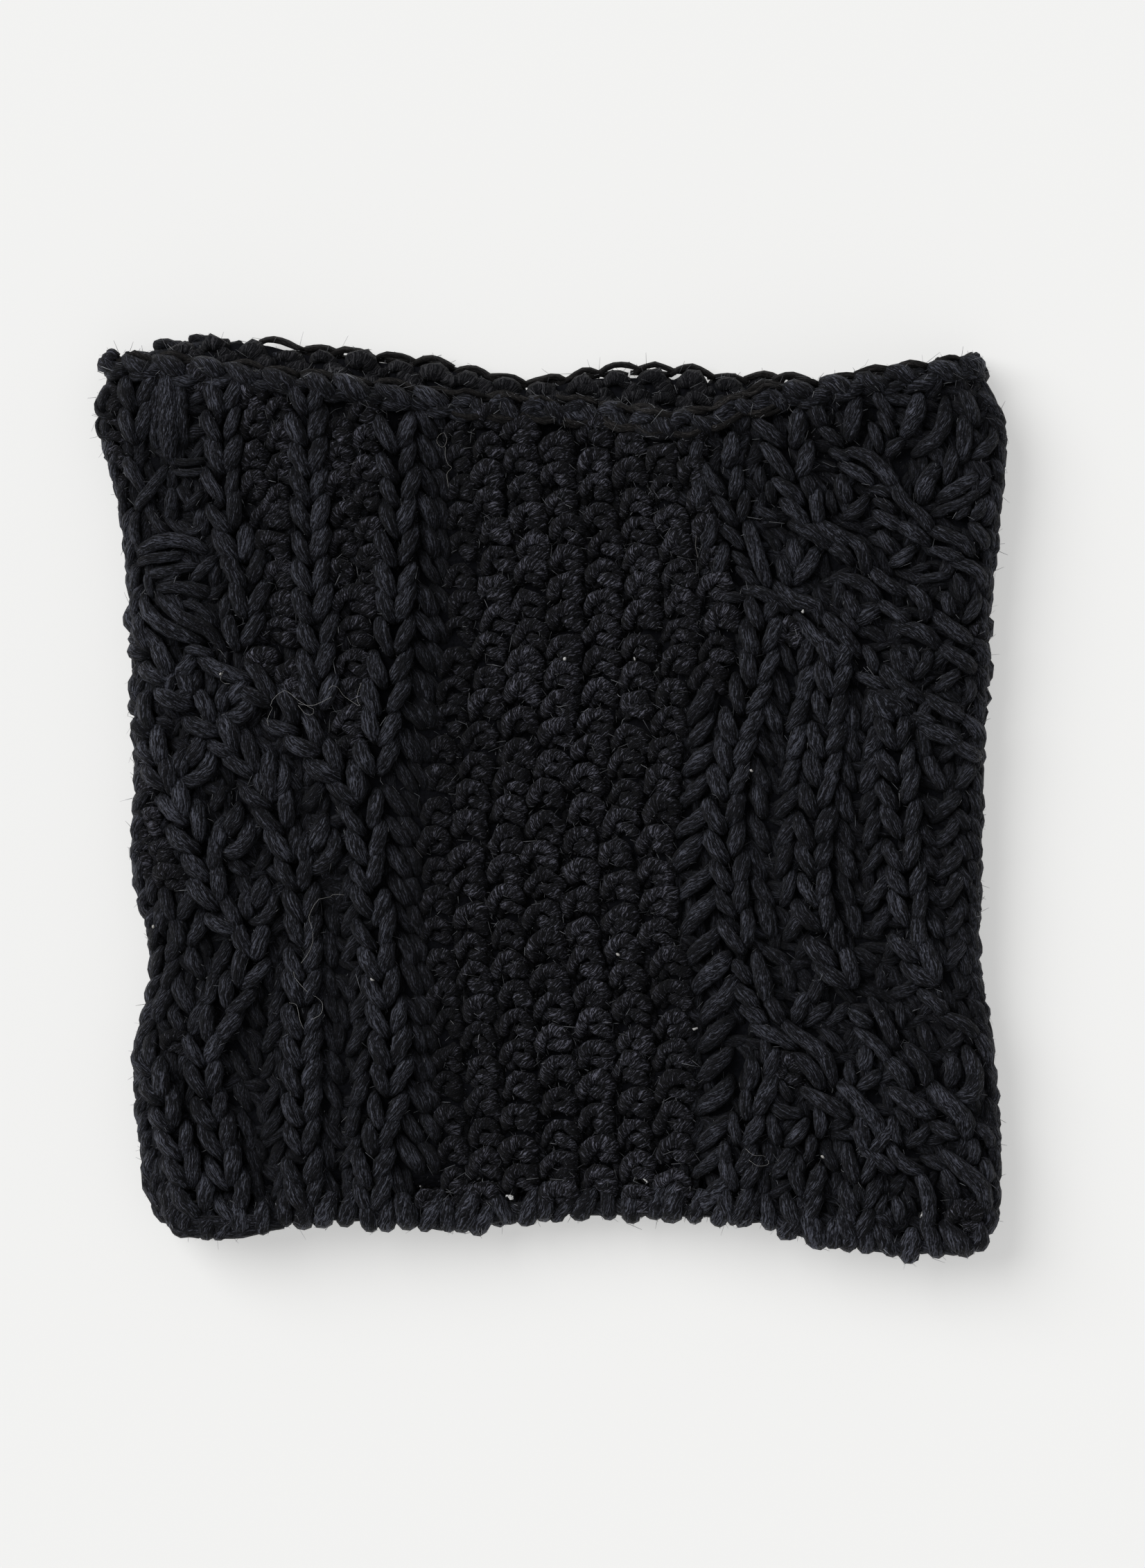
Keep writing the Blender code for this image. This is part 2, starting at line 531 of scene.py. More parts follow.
class Shade:
    """A socket of a node tree, with Python's operators as Math nodes."""

    def __init__(self, tree: Tree, socket: Socket) -> None:
        """Wrap one output socket."""
        self.tree = tree
        self.socket = socket

    def maths(self, operation: str, *others: "Shade | float", clamp: bool = False) -> "Shade":
        """Add a Math node whose first input is this socket."""
        settings = {"operation": operation, "use_clamp": clamp}
        return Shade(self.tree, node(self.tree, "ShaderNodeMath", settings, (self, *others)).outputs[0])

    def __add__(self, other: "Shade | float") -> "Shade":
        """Sum."""
        return self.maths("ADD", other)

    def __mul__(self, other: "Shade | float") -> "Shade":
        """Product."""
        return self.maths("MULTIPLY", other)

    def __sub__(self, other: "Shade | float") -> "Shade":
        """Difference."""
        return self.maths("SUBTRACT", other)

    def __rsub__(self, other: float) -> "Shade":
        """Difference, the other way round."""
        return (self * -1.0) + other

    def __pow__(self, other: float) -> "Shade":
        """Power."""
        return self.maths("POWER", other)

    __radd__ = __add__
    __rmul__ = __mul__


def node(tree: Tree, kind: str, settings: dict[str, object], inputs: "dict | tuple" = ()) -> bpy.types.Node:
    """Add any node: settings first, then inputs.

    Args:
        tree: the node tree.
        kind: the node's type.
        settings: properties of the node.
        inputs: values, sockets or Shades, by name or in order.

    Returns:
        The node.
    """
    made = tree.nodes.new(kind)
    for key, value in settings.items():
        setattr(made, key, value)
    for key, value in inputs.items() if isinstance(inputs, dict) else enumerate(inputs):
        value = value.socket if isinstance(value, Shade) else value
        if isinstance(value, Socket):
            tree.links.new(value, made.inputs[key])
        else:
            made.inputs[key].default_value = value
    return made


def noise(tree: Tree, vector: Socket, scale: float, detail: float) -> Shade:
    """Add a noise texture."""
    inputs = {"Vector": vector, "Scale": scale, "Detail": detail}
    return Shade(tree, node(tree, "ShaderNodeTexNoise", {}, inputs).outputs["Fac"])


def strand_value(tree: Tree, attribute: str) -> Shade:
    """Read a value that each strand carries."""
    return Shade(tree, node(tree, "ShaderNodeAttribute", {"attribute_name": attribute}).outputs["Fac"])


@dataclass(frozen=True)
class Finish:
    """A matt finish between a dark and a light colour. Each kind says how the two are spread."""

    name: str
    dark: Colour
    light: Colour
    roughness: float = 0.6
    specular: float = 0.2
    sheen: float = 0.0
    sheen_roughness: float = 0.5
    bump: float = 1.0
    relief: float = 1.2 * MM

    def spread(self, tree: Tree) -> tuple[Shade, Shade | None]:
        """The share of the light colour is each strand's own tone, and the surface has no height."""
        return strand_value(tree, STRAND_TONE), None

    def make(self) -> Material:
        """Build the material.

        Returns:
            The material, which reads the piece's strand attributes and object coordinates.
        """
        material = bpy.data.materials.new(self.name)
        material.use_nodes = True
        tree = material.node_tree
        tree.nodes.clear()
        share, height = self.spread(tree)
        ends = {"Factor": share, 6: (*self.dark, 1.0), 7: (*self.light, 1.0)}
        inputs = {
            "Base Color": node(tree, "ShaderNodeMix", {"data_type": "RGBA"}, ends).outputs[2],
            "Roughness": self.roughness,
            "Specular IOR Level": self.specular,
            "Sheen Weight": self.sheen,
            "Sheen Roughness": self.sheen_roughness,
        }
        if height is not None:
            relief = {"Strength": self.bump, "Distance": self.relief, "Height": height}
            inputs["Normal"] = node(tree, "ShaderNodeBump", {}, relief).outputs[0]
        shader = node(tree, "ShaderNodeBsdfPrincipled", {}, inputs)
        node(tree, "ShaderNodeOutputMaterial", {}, {"Surface": shader.outputs[0]})
        return material


@dataclass(frozen=True)
class Streaks:
    """Fibres of one size: how fine they are along and round a strand, their sway, and their shares."""

    along: float
    around: float
    sway: float
    own: float
    detail: float
    lit: float
    height: float


@dataclass(frozen=True)
class WoolFinish(Finish):
    """Single-ply wool: long fibres at a slant round the strand, matt, light and dark fibres side by side.

    Mottle, sway and felting are even noise of three scales; beside the fibres they have shares of their own.
    Each vertex's painted shade darkens the colour deep between the strands.
    """

    name: str = "knit_wool"
    dark: Colour = (0.0064, 0.0068, 0.0090)
    light: Colour = (0.1150, 0.1215, 0.1560)
    cut: float = 4.84
    contrast: float = 2.6
    painted_shade_power: float = 1.2
    specular: float = 0.12
    sheen: float = 0.04
    scales: tuple[float, ...] = (45.0, 300.0, 1300.0)
    detail: float = 2.0
    felt_lit: float = 1.4
    tone_lit: float = 0.25
    mottle_lit: float = 0.7
    felt_height: float = 0.4
    sizes: tuple[Streaks, ...] = (
        Streaks(5.0, 32.0, 2.6, 31.0, 2.0, 3.0, 0.6),
        Streaks(2.4, 15.0, 1.5, 17.0, 1.0, 1.2, 0.5),
        Streaks(12.0, 76.0, 7.0, 11.0, 1.0, 3.8, 0.5),
    )

    def spread(self, tree: Tree) -> tuple[Shade, Shade | None]:
        """Draw the fibres out along the strands.

        Args:
            tree: the material's nodes.

        Returns:
            The share of the light colour, darkened deep between the strands by the painted shade, and the
            height.
        """
        uv = node(tree, "ShaderNodeUVMap", {"uv_map": STRAND_UV}).outputs[0]
        parts = node(tree, "ShaderNodeSeparateXYZ", {}, (uv,)).outputs
        along, turn = Shade(tree, parts[0]), Shade(tree, parts[1])
        tone, painted_shade = strand_value(tree, STRAND_TONE), strand_value(tree, STRAND_PAINTED_SHADE)
        place = node(tree, "ShaderNodeTexCoord", {}).outputs["Object"]
        mottle, sway, felt = (noise(tree, place, scale, self.detail) for scale in self.scales)
        drawn = []
        for size in self.sizes:
            way = (along * size.along, turn * size.around + sway * size.sway, tone * size.own)
            vector = node(tree, "ShaderNodeCombineXYZ", {}, way).outputs[0]
            drawn.append((noise(tree, vector, 1.0, size.detail), size))
        lit, *more = [fibres * size.lit for fibres, size in drawn]
        height, *higher = [fibres * size.height for fibres, size in drawn]
        lit = sum(more, lit) + felt * self.felt_lit + tone * self.tone_lit + mottle * self.mottle_lit
        lit = (lit - self.cut).maths("ADD", 0.0, clamp=True) ** self.contrast
        # Painted shade: the light colour's share falls away deep between the strands.
        return lit * (painted_shade ** self.painted_shade_power), sum(higher, height) + felt * self.felt_height


@dataclass(frozen=True)
class PaintedShadeWoolFinish(Finish):
    """The felted depth between the stitches, where hardly any light comes: its dark colours are painted
    shade.
    """

    name: str = "deep_wool"
    dark: Colour = (0.0045, 0.0048, 0.0060)
    light: Colour = (0.0160, 0.0165, 0.0205)
    roughness: float = 0.95
    specular: float = 0.03
    bump: float = 0.6
    relief: float = 0.8 * MM
    scale: float = 900.0
    detail: float = 3.0

    def spread(self, tree: Tree) -> tuple[Shade, Shade | None]:
        """The same fine felting for the colour and the height."""
        felt = noise(tree, node(tree, "ShaderNodeTexCoord", {}).outputs["Object"], self.scale, self.detail)
        return felt, felt


# ---- the knitting --------------------------------------------------------------------------------------


@dataclass(frozen=True)
class RibLine:
    """The middle line of one knit rib, from its top to its foot, in millimetres.

    Between low and high it is made of rib stitches; elsewhere its strands are charted one by one.
    """

    name: str
    points: tuple[tuple[float, float], ...]
    low: float = -160.0
    high: float = 160.0
    fineness: int = 240
    widest: float = 2.2

    def fine(self) -> Array:
        """The line from foot to top as close points, in metres."""
        return follow(np.array(self.points, float)[::-1][None] * MM, np.linspace(0, 1, self.fineness))[0]

    def crossing(self, y: float, half: float) -> tuple[float, float] | None:
        """Find where the rib covers a course.

        Args:
            y: height of the course.
            half: half the rib's width.

        Returns:
            The rib's left and right edges there, or None if it doesn't reach the course.
        """
        line = self.fine()
        if not line[0, 1] - half / 2 < y < line[-1, 1] + half:
            return None
        x = np.interp(y, line[:, 1], line[:, 0])
        slope = np.interp(y, line[:, 1], np.gradient(line[:, 0]) / (np.gradient(line[:, 1]) + NO_SLOPE))
        reach = half * min(math.hypot(1.0, slope), self.widest)
        return float(x - reach), float(x + reach)


FRONT_RIBS = tuple(RibLine(*row) for row in (
    ("left_edge", ((-131, 150), (-133, 118), (-134, 100), (-137, 84)), 104),
    ("left_outer", ((-104, 150), (-105, 113), (-104, 92), (-99, 74), (-98, 60), (-101, 46))),
    ("left_middle", ((-78, 150), (-78, 107), (-77, 85), (-76, 63), (-75, 44), (-75, 26))),
    ("left_inner", ((-52, 148), (-50, 107), (-49, 92), (-50, 60), (-53, 32), (-57, 6))),
    ("first_traveller", (
        (-148, 78), (-135, 64), (-114, 48), (-97, 35), (-81, 20), (-68, 5), (-60, -8), (-57, -40), (-52, -80),
        (-52, -96), (-57, -119), (-59, -145),
    ), -160, 34),
    ("second_traveller", (
        (-148, 58), (-129, 43), (-114, 27), (-100, 12), (-88, -8), (-81, -32), (-80, -60), (-80, -110),
        (-78, -145),
    )),
    ("third_traveller", (
        (-148, 40), (-133, 22), (-122, 0), (-112, -20), (-105, -40), (-96, -52), (-103, -68), (-111, -86),
        (-106, -114), (-98, -146),
    )),
    ("left_foot", ((-133, -82), (-127, -96), (-120, -113), (-110, -146))),
    ("right_first_traveller", (
        (46, 140), (54, 104), (60, 82), (68, 66), (81, 58), (96, 47), (107, 35), (127, 26), (140, 15),
        (152, 2),
    ), 200),
    ("right_second_traveller", (
        (66, 132), (73, 104), (82, 89), (98, 77), (110, 65), (130, 50), (152, 34),
    ), 200),
    ("right_third_traveller", ((80, 134), (90, 110), (106, 99), (119, 88), (138, 72), (152, 58)), 200),
    ("right_top_traveller", ((98, 136), (105, 114), (122, 100), (142, 86), (154, 74)), 200),
    ("right_inner", (
        (67, 58), (66, 40), (60, 19), (56, -4), (57, -22), (61, -47), (68, -65), (78, -78), (91, -92),
        (105, -109), (117, -124), (125, -152),
    ), -53),
    ("right_middle", (
        (91, 44), (88, 19), (85, -10), (86, -38), (93, -57), (104, -73), (120, -91), (136, -109), (153, -126),
    ), -68),
    ("right_outer", ((109, 28), (111, 5), (114, -30), (117, -50), (127, -65), (140, -80), (153, -92)), -64),
    ("right_foot_inner", ((69, -78), (66, -91), (62, -112), (56, -148)), -160, -122),
    ("right_foot_middle", ((88, -98), (83, -111), (79, -150)), -160, -122),
    ("right_foot_outer", ((102, -113), (99, -123), (97, -154))),
))

LegShape = tuple[tuple[float, float, float, float], ...]


@dataclass(frozen=True)
class RibStitch(Knitting):
    """One knit stitch of a rib: two plump legs that meet at the foot.

    Where a rib travels across the ground, its legs lie more along it, longer, thicker and higher. The uneven
    values are those of a leg's thickness, level, sway, reach, start and spread.
    """

    pitch: float = 9.4 * MM
    travel_pitch: float = 11.4 * MM
    bend: float = 1.5
    steepest: float = 0.6
    radius: float = 2.4 * MM
    level: float = -1.7 * MM
    half_width: float = 5.9 * MM
    ends: tuple[float, float] = (0.1, 0.2)
    look: float = 0.6
    neck_share: float = 0.7
    uneven: tuple[float, ...] = (0.08, 0.35 * MM, 0.4 * MM, 0.07, 0.07, 0.07)
    left_leg: LegShape = (
        (-0.3, -0.06, -3.2, 0.46), (-1.2, 0.12, -0.2, 0.9), (-2.6, 0.36, 1.1, 1.1), (-4, 0.64, 1, 1.16),
        (-4.9, 0.92, -0.4, 1.02), (-5.1, 1.15, -3.2, 0.66),
    )
    right_leg: LegShape = (
        (1, 0.02, -3.2, 0.48), (1.6, 0.2, -0.2, 0.92), (2.5, 0.48, 1, 1.1), (3.5, 0.8, 0.8, 1.12),
        (4.3, 1.1, -0.3, 1), (4.4, 1.34, -3.2, 0.64),
    )
    left_travel: LegShape = (
        (0.1, -0.1, -3.2, 0.46), (-1, 0.06, 0, 0.92), (-2.5, 0.3, 1.7, 1.12), (-4, 0.58, 1.5, 1.16),
        (-4.9, 0.86, 0, 1.02), (-5.1, 1.08, -3.2, 0.66),
    )
    right_travel: LegShape = (
        (0.6, -0.02, -3.2, 0.48), (1.4, 0.18, 0, 0.92), (2.4, 0.46, 1.6, 1.1), (3.4, 0.8, 1.4, 1.12),
        (4, 1.12, 0, 1), (4, 1.36, -3, 0.64),
    )

    def path(self, line: RibLine) -> tuple[Array, Array]:
        """Space the stitches along a rib.

        Args:
            line: the rib's middle line.

        Returns:
            Feet of the stitches and the direction up the rib at each.
        """
        fine = line.fine()
        step = np.diff(fine, axis=0)
        length = np.linalg.norm(step, axis=1)
        slant = np.abs(step[:, 0]) / (length + NO_SLOPE)
        count = length / (self.pitch + (self.travel_pitch - self.pitch) * slant**self.bend)
        run = np.concatenate(([0.0], np.cumsum(count)))
        at = np.arange(self.ends[0], run[-1] - self.ends[1], 1.0)
        feet, ahead, behind = (
            np.stack([np.interp(at + shift, run, fine[:, axis]) for axis in (0, 1)], 1)
            for shift in (0, self.look, -self.look)
        )
        way = ahead - behind
        return feet, way / np.linalg.norm(way, axis=1, keepdims=True)

    def knit(self, batch: StrandBatch, line: RibLine) -> None:
        """Add both legs of every stitch of a rib.

        Args:
            batch: takes the strands.
            line: the rib's middle line.
        """
        straight = np.array((self.left_leg, self.right_leg))
        travel = np.array((self.left_travel, self.right_travel))
        for foot, way in zip(*self.path(line)):
            slant = min(abs(way[0]) / self.steepest, 1.0) ** self.bend
            pitch = self.pitch + (self.travel_pitch - self.pitch) * abs(way[0]) ** self.bend
            beside = np.array((way[1], -way[0]))
            wobble = self.rng.normal(0, 1, (2, 6)) * self.uneven
            inside = line.low * MM < foot[1] < line.high * MM
            if not inside or not batch.holds(self.layer, foot, HEM_ROOM, NECK_ROOM + self.neck_share * pitch):
                continue
            legs = straight + (travel - straight) * slant
            for shape, (thick, lift, sway, longer, start, wider) in zip(legs, wobble):
                out = shape[:, :1] * (MM * (1 + wider)) + sway
                along = shape[:, 1:2] * ((1 + longer) * pitch) + start * pitch
                high = self.level + lift + shape[:, 2] * MM
                radius = self.radius * (1 + thick) * shape[:, 3]
                batch.add(self.layer, np.column_stack((foot + beside * out + way * along, high, radius)))


# The strands of a stitch of each kind: shares of its width and height, rise, and share of the radius.
BUMP_ARCH = (
    (0.12, 0, -2.8, 0.66), (0.13, 0.18, -1, 1), (0.17, 0.42, 0.1, 1.12), (0.29, 0.65, 0.8, 1.2),
    (0.48, 0.75, 1, 1.2), (0.68, 0.69, 0.7, 1.2), (0.83, 0.51, 0.1, 1.1), (0.89, 0.3, -1.6, 0.8),
)
BUMP_FOOT = (
    (0.38, 0.5, -2.2, 0.6), (0.46, 0.35, -0.4, 1), (0.6, 0.25, 0.4, 1.22), (0.76, 0.18, 0.3, 1.22),
    (0.88, 0.08, -0.7, 1.02), (0.95, -0.04, -2.8, 0.6),
)
BUMP_CORE = (
    (0.3, -0.06, -3.4, 0.6), (0.33, 0.14, -2.4, 0.95), (0.37, 0.34, -1.9, 0.95), (0.46, 0.5, -2.1, 0.95),
    (0.56, 0.6, -3.2, 0.6),
)
LEAF_LEFT = (
    (0.06, 1.2, -3, 0.6), (0.18, 0.98, -0.8, 0.98), (0.38, 0.64, 0.1, 1.12), (0.58, 0.28, -0.4, 1),
    (0.68, -0.02, -3, 0.55),
)
LEAF_BEHIND = (
    (0.52, 1.1, -3, 0.6), (0.64, 0.9, -1.4, 0.92), (0.8, 0.62, -0.8, 1.05), (0.92, 0.32, -1.3, 0.92),
    (0.96, 0.06, -3, 0.6),
)
LEAF_RIGHT = (
    (0.1, -0.02, -2.6, 0.7), (0.22, 0.2, -0.4, 1.06), (0.46, 0.54, 0.5, 1.26), (0.74, 0.92, 0.2, 1.1),
    (0.92, 1.22, -2.8, 0.6),
)
GROOVE = (
    (-0.02, -0.15, -3.6, 0.7), (0.02, 0.3, -2.9, 0.85), (-0.01, 0.7, -2.9, 0.85), (0.01, 1.15, -3.6, 0.7),
)
VEE_LEFT = (
    (0.1, 1.36, -3.4, 0.66), (0.13, 1.1, -1, 0.96), (0.19, 0.78, 0.3, 1.1), (0.27, 0.46, 0.6, 1.08),
    (0.35, 0.18, 0, 0.88), (0.42, -0.04, -2.8, 0.45),
)
VEE_RIGHT = (
    (0.9, 1.44, -3.4, 0.66), (0.87, 1.18, -1, 0.98), (0.81, 0.86, 0.4, 1.12), (0.73, 0.52, 0.7, 1.1),
    (0.65, 0.22, 0, 0.9), (0.58, 0, -2.8, 0.48),
)
DEEP_BAR = (
    (0.18, 0.62, -3.2, 0.6), (0.32, 0.46, -2.2, 0.9), (0.5, 0.38, -1.8, 0.95), (0.68, 0.46, -2.2, 0.9),
    (0.82, 0.62, -3.2, 0.6),
)
SMILE_LEFT = (
    (-0.04, 0.98, -3, 0.6), (0.04, 0.8, -0.8, 0.95), (0.16, 0.52, 0.2, 1.1), (0.3, 0.28, 0.2, 1.05),
    (0.44, 0.1, -2.4, 0.6),
)
SMILE_RIGHT = (
    (0.34, 0, -2.6, 0.6), (0.48, 0.16, -0.4, 0.98), (0.66, 0.42, 0.5, 1.12), (0.84, 0.74, 0.5, 1.12),
    (0.98, 1.02, -0.6, 0.98), (1.06, 1.22, -3, 0.6),
)
TANGLE = (
    (
        (-0.02, 1, -3, 0.6), (0.12, 0.78, -0.6, 1), (0.28, 0.5, 0.2, 1.12), (0.4, 0.2, -0.5, 0.98),
        (0.46, -0.04, -3, 0.5),
    ),
    (
        (1, 1.1, -3, 0.6), (0.9, 0.84, -0.7, 1), (0.8, 0.56, 0, 1.1), (0.68, 0.28, -0.8, 0.94),
        (0.6, 0.04, -3, 0.5),
    ),
    (
        (0.04, 0.02, -3, 0.6), (0.26, 0, -1.5, 0.92), (0.52, 0.06, -1.1, 1), (0.78, 0.1, -1.6, 0.92),
        (1, 0.02, -3, 0.6),
    ),
    (
        (0.1, 1.06, -3.6, 0.7), (0.34, 0.8, -2.2, 0.95), (0.58, 0.66, -1.8, 1), (0.84, 0.4, -2.2, 0.95),
        (1.02, 0.1, -3.6, 0.7),
    ),
)
# The strands of a loop: across, up, rise and radius.
LOOP = (
    (
        (-3.2, 11.4, -3.2, 1.3), (-4, 9, -0.2, 2.2), (-4.3, 6.2, 0.9, 2.7), (-3.8, 3.4, 0.5, 2.4),
        (-2.8, 0.8, -2.6, 1.3),
    ),
    (
        (1.4, 16, -3, 1.5), (1.1, 13.4, 0.2, 2.5), (0.4, 10.6, 1.3, 3), (-0.5, 7.8, 0.7, 2.6),
        (-1.2, 5.2, -2.6, 1.2),
    ),
    (
        (3.6, 12.5, -3.2, 1.2), (4.6, 10, -0.2, 2.2), (4.7, 6.8, 0.8, 2.55), (3.4, 3.6, 0.9, 2.6),
        (1.2, 1.3, 0.5, 2.4), (-1.6, 0.4, 0, 2.1), (-4, 0.8, -2.6, 1.3),
    ),
)


class Fill(Enum):
    """What the ground between two ribs is made of: one stitch's strands, their radius, level and tilt."""

    PURL = ((BUMP_ARCH, BUMP_FOOT, BUMP_CORE, GROOVE), 1.9 * MM, -3.0 * MM, 0.10)
    VEE = ((VEE_LEFT, VEE_RIGHT, DEEP_BAR), 2.35 * MM, -3.5 * MM, 0.08)
    VALLEY = ((VEE_LEFT, VEE_RIGHT, DEEP_BAR), 2.1 * MM, -4.5 * MM, 0.10)
    SMILE = ((SMILE_LEFT, SMILE_RIGHT, DEEP_BAR), 2.3 * MM, -3.6 * MM, 0.10)
    DEEP = (TANGLE, 2.1 * MM, -3.7 * MM, 0.45)
    LEAF = ((LEAF_LEFT, LEAF_BEHIND, GROOVE), 2.4 * MM, -3.7 * MM, 0.10)
    BROAD_LEAF = ((LEAF_RIGHT, GROOVE), 2.4 * MM, -3.0 * MM, 0.08)


@dataclass(frozen=True)
class Patch:
    """A stretch of the ground between two ribs whose stitches differ from plain purl, in millimetres."""

    ribs: set[str]
    low: float
    high: float
    fill: Fill
    columns: int = 1

    def covers(self, sides: set[str], y: float) -> bool:
        """Tell whether the course at y between these two ribs belongs to the patch."""
        return self.ribs == sides and self.low * MM < y < self.high * MM


PATCHES = tuple(Patch({one, two}, *rest) for one, two, *rest in (
    ("right_inner", "right_middle", -52, 46, Fill.VEE), ("right_inner", "right_middle", -160, -52, Fill.DEEP),
    ("right_middle", "right_outer", -54, 32, Fill.VEE), ("right_middle", "right_outer", -160, -54, Fill.DEEP),
    ("right_outer", SEAM, -70, 14, Fill.SMILE, 2), ("right_outer", SEAM, -160, -70, Fill.DEEP, 2),
    ("right_middle", SEAM, -160, -70, Fill.DEEP, 2),
    ("right_first_traveller", "right_second_traveller", 10, 140, Fill.DEEP),
    ("right_second_traveller", "right_third_traveller", 10, 140, Fill.DEEP),
    ("right_third_traveller", "right_top_traveller", 10, 140, Fill.DEEP),
    ("right_top_traveller", SEAM, 60, 160, Fill.DEEP, 2),
    ("right_first_traveller", "right_middle", 0, 60, Fill.VEE),
    ("right_first_traveller", "right_outer", 0, 60, Fill.VEE),
    ("first_traveller", "second_traveller", -160, -38, Fill.VALLEY),
    ("first_traveller", "second_traveller", -38, 70, Fill.DEEP),
    ("second_traveller", "third_traveller", -160, -60, Fill.VALLEY),
    ("second_traveller", "third_traveller", -60, 60, Fill.DEEP),
    ("third_traveller", "left_foot", -160, -86, Fill.VALLEY), (SEAM, "left_foot", -160, -80, Fill.VEE, 2),
    (SEAM, "third_traveller", -84, -34, Fill.VEE, 2), ("left_edge", "left_outer", 96, 128, Fill.DEEP),
    ("left_edge", "left_outer", 60, 96, Fill.DEEP, 2),
    ("first_traveller", "left_outer", 44, 100, Fill.DEEP, 2),
    ("left_edge", "first_traveller", 44, 100, Fill.DEEP, 2),
    ("right_foot_inner", "right_foot_middle", -160, -80, Fill.DEEP),
    ("right_foot_middle", "right_foot_outer", -160, -80, Fill.DEEP),
    ("right_foot_outer", "right_inner", -160, -80, Fill.DEEP),
))
# The loops between travelling ribs: across, up and lean in degrees.
LOOPS = (
    (-116, 3, 8), (-103, -20, 6), (-94, -42, 4), (-89, -1, -8), (-75, -25, 4), (-103, 23, 6), (-121, 30, 12),
)
